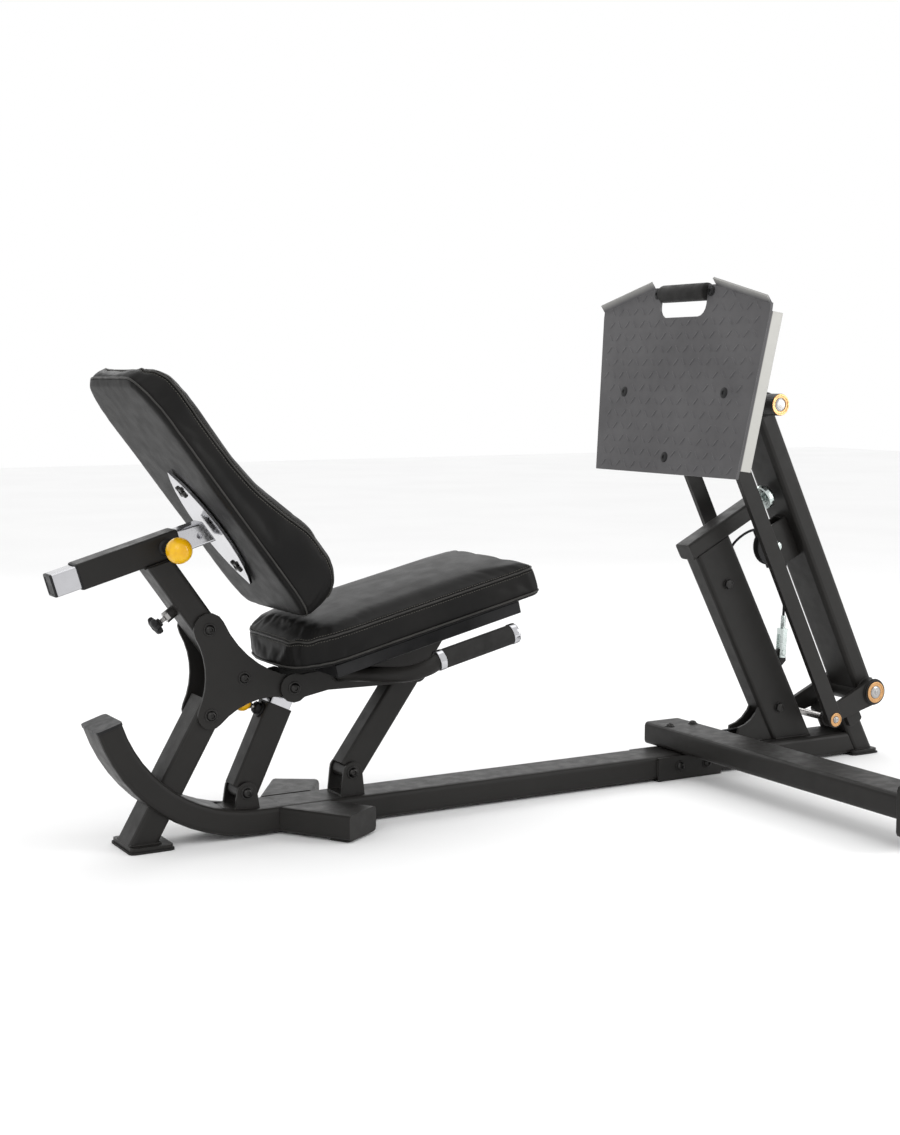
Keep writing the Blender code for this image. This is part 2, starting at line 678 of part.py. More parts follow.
# ---------------------------------------------------------------- press linkage
def build_ground_plates():
    for name, way in (("near", -1), ("far", 1)):
        inside = way * GROUND_PLATE_IN
        outside = way * (GROUND_PLATE_IN + GROUND_PLATE_THICK)
        outline = lobed_outline([(PIVOT_Q, 0.018), (PIVOT_P, LOW_HUB_R)], [0, 0], 8)
        plate = plate_xz("ground_plate_" + name, FRAME, outline, min(inside, outside),
                         max(inside, outside), origin=xz(PIVOT_P, inside))
        boss = turned("zz_boss_" + name, FRAME, xz(PIVOT_P, outside - way * 0.002), (0, way, 0),
                      [(LOW_HUB_R - 0.001, 0), (LOW_HUB_R - 0.001, BOSS_END - abs(outside) + 0.002)], 28)
        weld(plate, boss)
        link_side = LINK_Y - LINK_THICK / 2 - GAP
        spacer = turned("zz_spacer_" + name, FRAME, xz(PIVOT_Q, outside - way * 0.002), (0, way, 0),
                        [(0.016, 0), (0.016, link_side - abs(outside) + 0.002)], 20)
        weld(plate, spacer)
        drill(plate, xz(PIVOT_P, inside), AXLE_R + GAP, 0.05, segments=28)
        drill(plate, xz(PIVOT_Q, inside), PIN_R + GAP, 0.05)


def axle(name, centre, radius, half):
    """A shaft across the machine with slightly domed ends."""
    dome = radius * 0.75
    turned(name, STEEL, xz(centre), (0, 1, 0),
           [(0, -half), (dome, -half + 0.0006), (radius, -half + 0.0025), (radius, half - 0.0025),
            (dome, half - 0.0006), (0, half)], 24)


def build_arm():
    low = xz(PIVOT_P)
    high = xz(PIVOT_U)
    along = (high - low).normalized()
    arm = square_tube("press_arm", FRAME, low + along * 0.020, high - along * 0.018, ARM_WIDE, ARM_DEEP,
                      corner=0.012, origin=low)
    for tag, centre, radius, half in (("low", PIVOT_P, LOW_HUB_R, LOW_HUB_HALF),
                                      ("top", PIVOT_U, TOP_HUB_R, TOP_HUB_HALF)):
        hub = turned("zz_hub_" + tag, FRAME, xz(centre, -half), (0, 1, 0),
                     [(radius, 0), (radius, 2 * half)], 28)
        weld(arm, hub)
        drill(arm, xz(centre), AXLE_R + GAP, 0.1, segments=28)
    axle("arm_axle", PIVOT_P, AXLE_R, BOSS_END + 0.004)
    axle("carriage_axle", PIVOT_U, AXLE_R, 0.112)
    build_pulley_bracket(along)


def build_pulley_bracket(along):
    """A channel on the arm's rear face that carries the arm pulley."""
    to_arm = Vector((along.z, 0, -along.x))
    centre = xz(ARM_PULLEY)
    low = xz(PIVOT_P)
    reach = (centre - low).dot(along)
    face = low + along * reach - to_arm * (ARM_DEEP / 2 + GAP)
    depth = (face - centre).dot(to_arm)
    wall = BRACKET_WALL
    inner = PULLEY_THICK / 2 + 0.004
    outer = inner + wall
    back = depth
    front = -0.020
    long_half = 0.050
    profile = [(-outer, back), (-outer, front), (-inner, front), (-inner, back - wall),
               (inner, back - wall), (inner, front), (outer, front), (outer, back)]
    bm = bmesh.new()
    loops = []
    for step in (-long_half, long_half):
        loops.append(ring(bm, [centre + along * step + to_arm * b + Vector((0, a, 0)) for a, b in profile]))
    loop_faces(bm, loops)
    bracket = keep(bm, "pulley_bracket", FRAME, centre)
    drill(bracket, centre, 0.0062, 0.1, segments=12)
    turned("arm_pulley_bolt", STEEL, centre, (0, 1, 0),
           [(0, -outer - 0.007), (0.009, -outer - 0.007), (0.009, -outer - 0.0003), (0.0058, -outer - 0.0003),
            (0.0058, outer + 0.0003), (0.009, outer + 0.0003), (0.009, outer + 0.007),
            (0, outer + 0.007)], 12)


def build_links():
    for name, way in (("near", -1), ("far", 1)):
        y = way * LINK_Y
        outline = lobed_outline([(PIVOT_Q, LINK_WIDE / 2), (PIVOT_V, LINK_WIDE / 2)], [0, 0], 8)
        bar = plate_xz("link_bar_" + name, FRAME, outline, y - LINK_THICK / 2, y + LINK_THICK / 2,
                       origin=xz(PIVOT_Q, y))
        drill(bar, xz(PIVOT_Q, y), PIN_R + GAP, 0.03)
        drill(bar, xz(PIVOT_V, y), PIN_R + 0.0010, 0.03)
    axle("link_axle", PIVOT_Q, PIN_R, 0.104)
    axle("link_top_pin", PIVOT_V, PIN_R, 0.104)


def plate_point(height, out=0.0, y=0.0):
    """A point on the foot plate: up its face, and out of it towards the machine's front."""
    x = PLATE_FOOT[0] + math.sin(PLATE_TILT) * height + math.cos(PLATE_TILT) * out
    z = PLATE_FOOT[1] + math.cos(PLATE_TILT) * height - math.sin(PLATE_TILT) * out
    return Vector((x, y, z))


def build_carriage():
    back = PLATE_THICK + GAP
    carriage = None
    for name, way in (("near", -1), ("far", 1)):
        inside = TOP_HUB_HALF + 0.0015
        outside = inside + 0.008
        lobes = [(tuple(plate_point(0.045, back + 0.012).xz), 0.012), (PIVOT_V, 0.024),
                 (PIVOT_U, 0.030), (tuple(plate_point(0.215, back + 0.012).xz), 0.012)]
        outline = lobed_outline(lobes, [0, 0, 0, 0], 4)
        cheek = plate_xz("zz_cheek_" + name, FRAME, outline, *sorted((way * inside, way * outside)))
        boss = turned("zz_top_boss_" + name, FRAME, xz(PIVOT_U, way * (outside - 0.002)), (0, way, 0),
                      [(0.0245, 0), (0.0245, 0.109 - outside + 0.002)], 28)
        if carriage is None:
            half = LINK_Y - LINK_THICK / 2 - GAP
            carriage = turned("carriage", FRAME, xz(PIVOT_V, -half), (0, 1, 0),
                              [(0.017, 0), (0.017, 2 * half)], 24, origin=xz(PIVOT_U))
            web = solid_block("zz_carriage_web", FRAME, plate_point(0.100, back, -outside + 0.001),
                              plate_point(0.100, back, outside - 0.001), 0.130, 0.008, 0.0005,
                              side=plate_point(1) - plate_point(0))
            web.location += (plate_point(0, 0.0045) - plate_point(0))
            weld(carriage, web)
        weld(carriage, cheek)
        weld(carriage, boss)
    drill(carriage, xz(PIVOT_U), AXLE_R + GAP, 0.2, segments=28)
    drill(carriage, xz(PIVOT_V), PIN_R + GAP, 0.2)


def build_foot_plate():
    """Folded tread plate: face, two side flanges, two sloping lips and a notch for the handle."""
    side_top = PLATE_TALL
    shoulder = side_top + 0.016
    peak = side_top + PLATE_PEAK
    notch_low = peak - 0.020 - HANDLE_NOTCH_DEEP
    face = [(-PLATE_LOW_HALF, 0), (PLATE_LOW_HALF, 0), (PLATE_TOP_HALF, side_top),
            (PLATE_TOP_HALF, shoulder), (HANDLE_PEAK_HALF, peak), (HANDLE_NOTCH_HALF, peak)]
    face += arc((HANDLE_NOTCH_HALF - 0.026, notch_low + 0.026), 0.026, 0, math.radians(-90), 4)
    mirrored = [(-a, b) for a, b in reversed(face[2:])]
    face = face + mirrored
    bm = bmesh.new()
    loops = [ring(bm, [plate_point(b, out, -a) for a, b in face]) for out in (0, PLATE_THICK)]
    loop_faces(bm, loops)
    plate = keep(bm, "foot_plate", TREAD, plate_point(0))
    out = plate_point(0, 1) - plate_point(0, 0)
    rise = plate_point(1) - plate_point(0)
    thick = PLATE_THICK * 0.8
    for way in (-1, 1):
        slope = (PLATE_TOP_HALF - PLATE_LOW_HALF) / side_top
        low = plate_point(0.018, 0.0005, way * (PLATE_LOW_HALF + slope * 0.018 + 0.0004))
        high = plate_point(side_top - 0.001, 0.0005, way * (PLATE_TOP_HALF + 0.0004))
        strip(plate, "zz_side_flange" + str(way), low, high, out * PLATE_FLANGE, Vector((0, -way * thick, 0)))
        low = plate_point(shoulder - 0.004, 0.0005, way * (PLATE_TOP_HALF - 0.0005))
        high = plate_point(peak - 0.004, 0.0005, way * (HANDLE_PEAK_HALF + 0.002))
        strip(plate, "zz_lip" + str(way), low, high, (rise * 0.73 - out * 0.68) * PLATE_LIP,
              (rise * 0.68 + out * 0.73) * thick)


def strip(plate, name, low, high, reach, thick):
    """Welds on a strip along the edge low to high that stands off by `reach`."""
    bm = bmesh.new()
    loops = [ring(bm, [end, end + reach, end + reach + thick, end + thick]) for end in (low, high)]
    loop_faces(bm, loops)
    weld(plate, keep(bm, name, TREAD, plate_point(0)))


def build_press_handle():
    """The lifting handle in the foot plate's notch, with a lug at each end behind the plate."""
    height = PLATE_TALL + PLATE_PEAK - 0.014
    behind = PLATE_THICK + GAP
    half = HANDLE_NOTCH_HALF - 0.003
    bar = turned("press_handle", RUBBER, plate_point(height, 0.004, -half), (0, 1, 0),
                 [(PRESS_GRIP_R, 0), (PRESS_GRIP_R, 2 * half)], 24)
    for way in (-1, 1):
        inner = way * (half - 0.006)
        outer = way * (HANDLE_PEAK_HALF - 0.004)
        lug = solid_block("zz_handle_lug" + str(way), STEEL,
                          plate_point(height - 0.004, behind + 0.0045, inner),
                          plate_point(height - 0.004, behind + 0.0045, outer), 0.024, 0.008, 0.002,
                          side=rise_of_plate())
        weld(bar, lug)


def rise_of_plate():
    return plate_point(1) - plate_point(0)


# ---------------------------------------------------------------- seat side
def build_gussets():
    lobes = [(PIVOT_A, 0.027), (PIVOT_B, 0.021), (RECLINE_TOP, 0.032)]
    hollows = [0.150, 0.210, 0.150]
    outline = lobed_outline(lobes, hollows, 7)
    for name, way in (("near", -1), ("far", 1)):
        inside = GUSSET_IN
        outside = GUSSET_IN + PLATE
        plate = plate_xz("gusset_" + name, FRAME, outline, *sorted((way * inside, way * outside)),
                         origin=xz(PIVOT_A, way * inside))
        drill(plate, xz(PIVOT_A), BOLT_R + GAP, 0.1)
        drill(plate, xz(PIVOT_B), BOLT_R + GAP, 0.1)


def sleeve_point(along, over=0.0, y=0.0):
    x = SLEEVE_START[0] + math.cos(SLEEVE_RISE) * along - math.sin(SLEEVE_RISE) * over
    z = SLEEVE_START[1] + math.sin(SLEEVE_RISE) * along + math.cos(SLEEVE_RISE) * over
    return Vector((x, y, z))


def build_back_post():
    along = xz(up(BACK_LEAN))
    low = xz(RECLINE_TOP) - along * 0.138
    high = xz(RECLINE_TOP) + along * 0.230
    post = square_tube("back_post", FRAME, low, high, REAR_WIDE, REAR_DEEP, origin=xz(RECLINE_TOP))
    cutter = solid_block("zz_sleeve_cutter", STEEL, sleeve_point(-0.1, 0.1), sleeve_point(0.4, 0.1),
                         0.2, SLEEVE_SIZE + 0.2 + 2 * GAP, 0.0005)
    cut(post, cutter)
    square_tube("back_sleeve", FRAME, sleeve_point(0), sleeve_point(SLEEVE_LONG), SLEEVE_SIZE,
                SLEEVE_SIZE, corner=0.005)
    pin_at = sleeve_point(SLEEVE_LONG - 0.026, -0.002)
    drill(bpy.data.objects["back_sleeve"], pin_at + Vector((0, -0.03, 0)), 0.0058, 0.015, segments=16)


def build_slide():
    start = sleeve_point(-SLIDE_BEHIND)
    end = sleeve_point(SLIDE_LONG - SLIDE_BEHIND)
    tube = square_tube("slide_tube", CHROME, start, end, SLIDE_SIZE, SLIDE_SIZE, corner=0.004,
                       wall=0.0025, closed_start=True)
    for k in range(7):
        spot = sleeve_point(SLEEVE_LONG - 0.026 - 0.105 + 0.035 * k, -0.002)
        if 0 <= SLEEVE_LONG - 0.026 - 0.105 + 0.035 * k <= SLIDE_LONG - SLIDE_BEHIND - 0.035:
            drill(tube, spot + Vector((0, -SLIDE_SIZE / 2, 0)), 0.0058, 0.010, segments=16)
    cutter = solid_block("zz_slide_end", STEEL, back_point(-0.5, 0.1 - MOUNT_RECESS),
                         back_point(0.5, 0.1 - MOUNT_RECESS), 0.3, 0.2 + 2 * (MOUNT_THICK + GAP), 0.0005)
    cut(tube, cutter)
    build_mount_plate()


def back_point(along, out=0.0, y=0.0):
    """A point on the backrest's rear face: up the pad, and out towards the user."""
    centre = sleeve_point(SLIDE_LONG - SLIDE_BEHIND - 0.004)
    x = centre.x - math.sin(BACK_TILT) * along + math.cos(BACK_TILT) * out
    z = centre.z + math.cos(BACK_TILT) * along + math.sin(BACK_TILT) * out
    return Vector((x, y, z))


def build_mount_plate():
    """Pointed plate let into the back of the pad: two arcs that meet at the ends."""
    bm = bmesh.new()
    long_half = MOUNT_LONG / 2
    wide_half = MOUNT_WIDE / 2
    radius = (long_half ** 2 + wide_half ** 2) / (2 * wide_half)
    swing = math.asin(long_half / radius)
    outline = arc((-(radius - wide_half), 0), radius, -swing, swing, 10)
    outline += arc((radius - wide_half, 0), radius, math.pi - swing, math.pi + swing, 10)[1:-1]
    top = MOUNT_RECESS
    loops = []
    for out in (top - MOUNT_THICK, top):
        loops.append(ring(bm, [back_point(b, out, a) for a, b in outline]))
    loop_faces(bm, loops)
    keep(bm, "mount_plate", CHROME, back_point(0))


def corner_stations(length, first_r, last_r, steps=5):
    """Places along a pad, close together where its corners turn, with the width lost at each side."""
    places = []
    for i in range(steps + 1):
        angle = math.pi / 2 * i / steps
        places.append((first_r * (1 - math.cos(angle)), first_r * (1 - math.sin(angle))))
    straight = length - first_r - last_r
    for i in range(1, 6):
        places.append((first_r + straight * i / 6, 0))
    for i in range(steps, -1, -1):
        angle = math.pi / 2 * i / steps
        places.append((length - last_r * (1 - math.cos(angle)), last_r * (1 - math.sin(angle))))
    return places


def dome(distance, reach, depth):
    """How far a pad's edge has pulled in where its end is rounded."""
    if distance >= reach:
        return 0
    return depth * (1 - math.sqrt(max(1 - (1 - distance / reach) ** 2, 0)))


def build_back_pad():
    """Thick rounded pad with a swell for the small of the back near its lower end."""
    bm = bmesh.new()
    loops = []
    for place, trim in corner_stations(BACK_PAD_LONG, BACK_PAD_CORNER_LOW, BACK_PAD_CORNER_TOP):
        along = place - BACK_PAD_BELOW
        width = BACK_PAD_WIDE - 2 * trim * 0.8
        front = BACK_PAD_THICK + LUMBAR * math.exp(-((along - LUMBAR_AT) / LUMBAR_REACH) ** 2)
        back = MOUNT_RECESS + 0.0005
        for end in (place, BACK_PAD_LONG - place):
            front -= dome(end, 0.050, 0.040)
            back += dome(end, BACK_PAD_DOME, 0.026)
        radius = min(0.020, (front - back) / 2 - 0.001)
        profile = rounded_rect(width, front - back, radius, 3)
        middle = (front + back) / 2
        loops.append(ring(bm, [back_point(along, middle + b, a) for a, b in profile]))
    loop_faces(bm, loops)
    keep(bm, "back_pad", LEATHER, back_point(0))


def seat_point(along, over=0.0, y=0.0):
    x = SEAT_START[0] + math.cos(SEAT_RISE) * along - math.sin(SEAT_RISE) * over
    z = SEAT_START[1] + math.sin(SEAT_RISE) * along + math.cos(SEAT_RISE) * over
    return Vector((x, y, z))


def build_seat_frame():
    board_low = -BOARD_THICK - GAP
    board_middle = -GAP - BOARD_THICK / 2
    solid_block("seat_board", PLASTIC, seat_point(0.076, board_middle),
                seat_point(SEAT_LONG - 0.055, board_middle), BOARD_WIDE, BOARD_THICK, 0.002)
    top = board_low - GAP
    for name, way in (("near", -1), ("far", 1)):
        inside = SEAT_PLATE_IN
        outside = SEAT_PLATE_IN + PLATE
        outline = [tuple(seat_point(0.074, top).xz)]
        outline += arc(PIVOT_B, 0.029, math.radians(62), math.radians(318), 10)
        outline += [(PIVOT_B[0] + 0.072, PIVOT_B[1] - 0.010)]
        outline += arc(PIVOT_C, 0.019, math.radians(-96), math.radians(20), 6)
        outline += [tuple(seat_point(0.375, top - 0.012).xz), tuple(seat_point(0.500, top - 0.012).xz),
                    tuple(seat_point(0.508, top).xz)]
        plate = plate_xz("seat_plate_" + name, FRAME, outline, *sorted((way * inside, way * outside)),
                         origin=xz(PIVOT_B, way * inside))
        drill(plate, xz(PIVOT_B), BOLT_R + GAP, 0.1)
        drill(plate, xz(PIVOT_C), BOLT_R + GAP, 0.1)
        build_handle(name, way)


def build_handle(name, way):
    """Bent tube from the seat plate out to the side of the pad, with its grip."""
    start_y = SEAT_PLATE_IN + PLATE + GAP
    rise = Vector((math.cos(SEAT_RISE), 0, math.sin(SEAT_RISE)))
    grip_start = seat_point(0.258, -0.040)
    route = [Vector((seat_point(0.120, -0.046).x, start_y, seat_point(0.120, -0.046).z)),
             Vector((seat_point(0.145, -0.050).x, start_y + 0.030, seat_point(0.145, -0.050).z)),
             Vector((seat_point(0.200, -0.056).x, HANDLE_Y - 0.045, seat_point(0.200, -0.056).z)),
             Vector((seat_point(0.235, -0.048).x, HANDLE_Y - 0.006, seat_point(0.235, -0.048).z)),
             Vector((grip_start.x, HANDLE_Y, grip_start.z))]
    points = smooth_route(route, 4)
    end = route[-1] + rise * GRIP_LONG
    bm = bmesh.new()
    loops = []
    for i, point in enumerate(points):
        if i == 0:
            tangent = Vector((0.35, 1, 0)).normalized()
        elif i == len(points) - 1:
            tangent = rise
        else:
            tangent = (points[i + 1] - points[i - 1]).normalized()
        loops.append(circle_ring(bm, point, tangent, HANDLE_R, way))
    for radius, along in ((GRIP_R, 0.0), (GRIP_R, GRIP_LONG)):
        loops.append(circle_ring(bm, route[-1] + rise * (along + 0.0005), rise, radius, way))
    loop_faces(bm, loops)
    handle = keep(bm, "handle_" + name, RUBBER, (route[0].x, way * route[0].y, route[0].z))
    cut_box(handle, (0, -SEAT_PLATE_IN - PLATE - GAP, 0), (1, SEAT_PLATE_IN + PLATE + GAP, 1))
    return end


def circle_ring(bm, centre, tangent, radius, way, segments=12):
    side = tangent.cross(Vector((0, 0, 1))).normalized()
    over = side.cross(tangent).normalized()
    points = []
    for i in range(segments):
        angle = 2 * math.pi * i / segments
        p = centre + side * (radius * math.cos(angle)) + over * (radius * math.sin(angle))
        points.append(Vector((p.x, way * p.y, p.z)))
    return ring(bm, points)


def smooth_route(route, steps):
    """Catmull-Rom points through the route."""
    padded = [2 * route[0] - route[1]] + list(route) + [2 * route[-1] - route[-2]]
    points = []
    for i in range(1, len(padded) - 2):
        a, b, c, d = padded[i - 1:i + 3]
        for k in range(steps):
            t = k / steps
            points.append(0.5 * (2 * b + (c - a) * t + (2 * a - 5 * b + 4 * c - d) * t ** 2
                                 + (3 * b - a - 3 * c + d) * t ** 3))
    points.append(route[-1])
    return points


def build_seat_pad():
    bm = bmesh.new()
    loops = []
    for place, trim in corner_stations(SEAT_LONG, SEAT_CORNER_REAR, SEAT_CORNER_FRONT):
        t = place / SEAT_LONG
        width = SEAT_WIDE - 2 * trim * 0.85
        crown = SEAT_CROWN * math.sqrt(max(0, 1 - (2 * t - 1) ** 4))
        side = SEAT_THICK - dome(place, 0.030, 0.014) - dome(SEAT_LONG - place, 0.020, 0.010)
        profile = crowned_profile(width, side, crown, 0.014)
        loops.append(ring(bm, [seat_point(place, b, a) for a, b in profile]))
    loop_faces(bm, loops)
    keep(bm, "seat_pad", LEATHER, seat_point(0))


def crowned_profile(width, side, crown, radius):
    """Pad section: flat base, round lower corners, and a crowned top."""
    half = width / 2
    points = [(-half + radius, 0), (half - radius, 0), (half - 0.3 * radius, 0.3 * radius),
              (half, radius), (half, side * 0.75), (half - 0.006, side)]
    for i in range(1, 8):
        t = 1 - i / 4
        points.append((t * (half - 0.012), side + crown * (1 - abs(t) ** 2.4)))
    points += [(-half + 0.006, side), (-half, side * 0.75), (-half, radius),
               (-half + 0.3 * radius, 0.3 * radius)]
    return points


def build_rail_brackets():
    """Ear brackets welded on the rail for the strut and the front link."""
    for name, pivot, base in (("strut", PIVOT_E, "tail_tube"), ("link", PIVOT_D, "base_rail_rear")):
        rail = bpy.data.objects[base]
        base_z = RAIL_TOP - WALL / 2
        bm = bmesh.new()
        width = 0.0275
        wall = 0.006
        outline = [(pivot[0] - 0.026, base_z), (pivot[0] + 0.026, base_z)]
        outline += arc(pivot, 0.021, 0, math.pi, 8)
        loops = [ring(bm, [xz(p, y) for p in outline]) for y in (-width - wall, width + wall)]
        loop_faces(bm, loops)
        ears = keep(bm, "zz_ears_" + name, FRAME, xz(pivot))
        weld(rail, ears)
        cut_box(rail, (pivot[0] - 0.05, -width, RAIL_TOP + 0.003), (pivot[0] + 0.05, width, pivot[1] + 0.05))
        drill(rail, xz(pivot), BOLT_R + GAP, 0.1)


def build_strut():
    low = xz(PIVOT_E)
    high = xz(PIVOT_B)
    along = (high - low).normalized()
    outer_top = 0.180
    outer = square_tube("strut_outer", FRAME, low + along * 0.004, low + along * outer_top, 0.0508,
                        0.0560, corner=0.007, origin=low)
    foot = turned("zz_strut_foot", FRAME, low - Vector((0, 0.0254, 0)), (0, 1, 0),
                  [(0.0175, 0), (0.0175, 0.0508)], 20)
    weld(outer, foot)
    drill(outer, low, BOLT_R + GAP, 0.1)
    side = Vector((-along.z, 0, along.x))
    pin_at = low + along * (outer_top - 0.020)
    drill(outer, pin_at + side * 0.026, 0.0058, 0.012, side, 16)
    inner = square_tube("strut_inner", CHROME, low + along * 0.060, high - along * 0.006, 0.0430, 0.0480,
                        corner=0.005, origin=high)
    eye = turned("zz_strut_eye", CHROME, high - Vector((0, 0.0215, 0)), (0, 1, 0),
                 [(0.016, 0), (0.016, 0.043)], 20)
    weld(inner, eye)
    drill(inner, high, BOLT_R + STRUT_PLAY, 0.1)
    for k in range(3):
        drill(inner, pin_at - along * 0.022 * k + side * 0.022, 0.0058, 0.006, side, 12)
    pull_pin("strut_pull_pin", pin_at + side * 0.0283, side, 0.018, 0.014, 0.025)



def build_front_link():
    low = xz(PIVOT_D)
    high = xz(PIVOT_C)
    along = (high - low).normalized()
    link = square_tube("front_link", FRAME, low + along * 0.004, high - along * 0.004, 0.0508, 0.0540,
                       corner=0.007, origin=low)
    for tag, centre in (("foot", low), ("eye", high)):
        hub = turned("zz_link_" + tag, FRAME, centre - Vector((0, 0.0254, 0)), (0, 1, 0),
                     [(0.0175, 0), (0.0175, 0.0508)], 20)
        weld(link, hub)
    drill(link, low, BOLT_R + GAP, 0.1)
    drill(link, high, BOLT_R + LINK_PLAY, 0.1)


def build_bolts():
    """Pivot bolts with low round heads, each right through its joint."""
    for name, centre, half in (("bolt_rear_post", PIVOT_A, GUSSET_IN + PLATE),
                               ("bolt_seat_rear", PIVOT_B, SEAT_PLATE_IN + PLATE),
                               ("bolt_seat_front", PIVOT_C, SEAT_PLATE_IN + PLATE),
                               ("bolt_front_link", PIVOT_D, 0.0335),
                               ("bolt_strut", PIVOT_E, 0.0335)):
        face = half + GAP
        head = half + 0.006
        turned(name, STEEL, xz(centre), (0, 1, 0),
               [(0, -head), (0.010, -head), (0.011, -face), (BOLT_R, -face), (BOLT_R, face),
                (0.011, face), (0.010, head), (0, head)], 16)


def pull_pin(name, base, axis, ball_r, neck, reach):
    """Sprung pull pin: a pin through the wall, a collar and a ball knob."""
    profile = [(0, -PIN_TIP), (0.0050, -PIN_TIP), (0.0050, 0.0003), (0.012, 0.0003), (0.012, neck),
               (0.006, neck + 0.001)]
    centre = reach + ball_r * 0.9
    first = math.asin(0.006 / ball_r)
    for i in range(9):
        angle = first + (math.pi - first) * i / 8
        radius = ball_r * math.sin(angle)
        profile.append((radius if i < 8 else 0, centre - ball_r * math.cos(angle)))
    turned(name, YELLOW, base, axis, profile, 20)


def build_knobs():
    pin_at = sleeve_point(SLEEVE_LONG - 0.026, -0.002, -SLEEVE_SIZE / 2)
    pull_pin("back_pull_pin", pin_at, (0, -1, 0), 0.025, 0.024, 0.040)
    down = xz(up(BACK_LEAN))
    rearward = Vector((-down.z, 0, down.x))
    seat = xz(RECLINE_TOP) + down * 0.060 + rearward * (REAR_DEEP / 2)
    post = bpy.data.objects["back_post"]
    boss = turned("zz_star_boss", FRAME, seat - rearward * 0.0025, rearward,
                  [(0.011, 0), (0.011, 0.0155)], 16)
    weld(post, boss)
    drill(post, seat, 0.0052, 0.030, rearward, 16)
    turned("star_knob", PLASTIC, seat, rearward,
           [(0, -0.006), (0.0049, -0.006), (0.0049, 0.0330), (0.008, 0.0330), (0.008, 0.038), (0.0175, 0.040),
            (0.0175, 0.049), (0.012, 0.052), (0, 0.052)], 20)


# ---------------------------------------------------------------- cable
def build_cable():
    """The press cable, from its clevis round the arm pulley, down the tower and into the beam."""
    over_arm = PULLEY_R - GROOVE + CABLE_R + 0.0008
    in_tower = TOWER_PULLEY_R - GROOVE + CABLE_R + 0.0008
    arm = Vector(ARM_PULLEY)
    upper = tower_point(UPPER_PULLEY_AT, -TOWER_PULLEY_BACK).xz
    lower = tower_point(LOWER_PULLEY_AT, -TOWER_PULLEY_BACK).xz
    # The cable crosses the post between its two pulleys, so it touches them on opposite sides.
    crossing = math.asin(2 * in_tower / (UPPER_PULLEY_AT - LOWER_PULLEY_AT))
    leaves = math.radians(180) + TOWER_LEAN + crossing
    clevis_top = Vector((1.5700, 0.322))
    points = [clevis_top, Vector((1.5722, 0.370)), Vector((1.5732, 0.420)), Vector((1.5738, 0.465))]
    points += [Vector(p) for p in arc(arm, over_arm, math.radians(-4), math.radians(92), 9)]
    points += [Vector((1.482, 0.5445)), Vector((1.452, 0.536)), Vector((1.425, 0.519)),
               Vector((1.404, 0.496))]
    points += [Vector(p) for p in arc(upper, in_tower, math.radians(126), leaves, 8)]
    points += [Vector(p) for p in arc(lower, in_tower, leaves - math.pi, math.radians(-86), 9)]
    points += [Vector((1.490, 0.0870)), Vector((1.440, 0.0850)), Vector((1.390, 0.0830))]
    route = [xz(tuple(p)) for p in points]
    corner = Vector((BEAM_X + 0.020, 0, BEAM_CENTRE_Z))
    route += [corner + Vector((0.020, -0.002, 0)), corner + Vector((0.006, -0.010, 0)),
              corner + Vector((0.000, -0.028, 0)), Vector((BEAM_X + 0.012, -0.120, BEAM_CENTRE_Z)),
              Vector((BEAM_X + 0.004, -0.400, BEAM_CENTRE_Z)),
              Vector((BEAM_X, BEAM_NEAR_Y + 0.030, BEAM_CENTRE_Z))]
    smooth = smooth_route(route, 2)
    curve = bpy.data.curves.new("press_cable", "CURVE")
    curve.dimensions = "3D"
    curve.bevel_depth = CABLE_R
    curve.bevel_resolution = 2
    curve.use_fill_caps = True
    spline = curve.splines.new("POLY")
    spline.points.add(len(smooth) - 1)
    for item, point in zip(spline.points, smooth):
        item.co = (*point, 1)
    curve.materials.append(RUBBER)
    obj = bpy.data.objects.new("press_cable", curve)
    bpy.context.scene.collection.objects.link(obj)
    # The clevis hangs on the tower's lug by a pin and takes the cable's end.
    lug_at = tower_point(0.247, TOWER_DEEP / 2 + 0.024)
    top = xz(tuple(clevis_top)) - Vector((0, 0, 0.0005))
    way = (top - lug_at).normalized()
    clevis = solid_block("cable_clevis", ZINC, lug_at - way * 0.012, top - way * 0.012, 0.022, 0.018, 0.003)
    neck = turned("zz_clevis_neck", ZINC, top - way * 0.020, way, [(0.006, 0), (0.006, 0.0195)], 12)
    weld(clevis, neck)
    slot = solid_block("zz_clevis_slot", STEEL, lug_at - way * 0.020, top - way * 0.026, 0.0095, 0.050,
                       0.0005)
    cut(clevis, slot)


# ---------------------------------------------------------------- build
clear_scene()
FRAME = material("frame_black", (0.030, 0.029, 0.028), 0.45, 0.2)
CHROME = material("chrome", (0.80, 0.80, 0.82), 0.10, 1.0)
STEEL = material("steel", (0.55, 0.55, 0.56), 0.30, 1.0)
ZINC = material("zinc", (0.62, 0.66, 0.65), 0.30, 1.0)
TREAD = material("tread_plate", (0.16, 0.16, 0.17), 0.55, 0.5)
RUBBER = material("black_rubber", (0.020, 0.020, 0.020), 0.70, 0.0)
PLASTIC = material("black_plastic", (0.020, 0.020, 0.022), 0.50, 0.0)
YELLOW = material("yellow_ball", (0.85, 0.52, 0.01), 0.15, 0.0)
LEATHER = material("black_vinyl", (0.022, 0.021, 0.021), 0.45, 0.0)

build_rails()
build_tail()
build_outriggers()
build_rear_post()
build_stub_post()
build_splice()
build_cross_beam()
build_tower()
build_pulleys()
build_ground_plates()
build_arm()
build_links()
build_carriage()
build_foot_plate()
build_press_handle()
build_gussets()
build_back_post()
build_slide()
build_back_pad()
build_seat_frame()
build_seat_pad()
build_rail_brackets()
build_strut()
build_front_link()
build_bolts()
build_knobs()
build_cable()
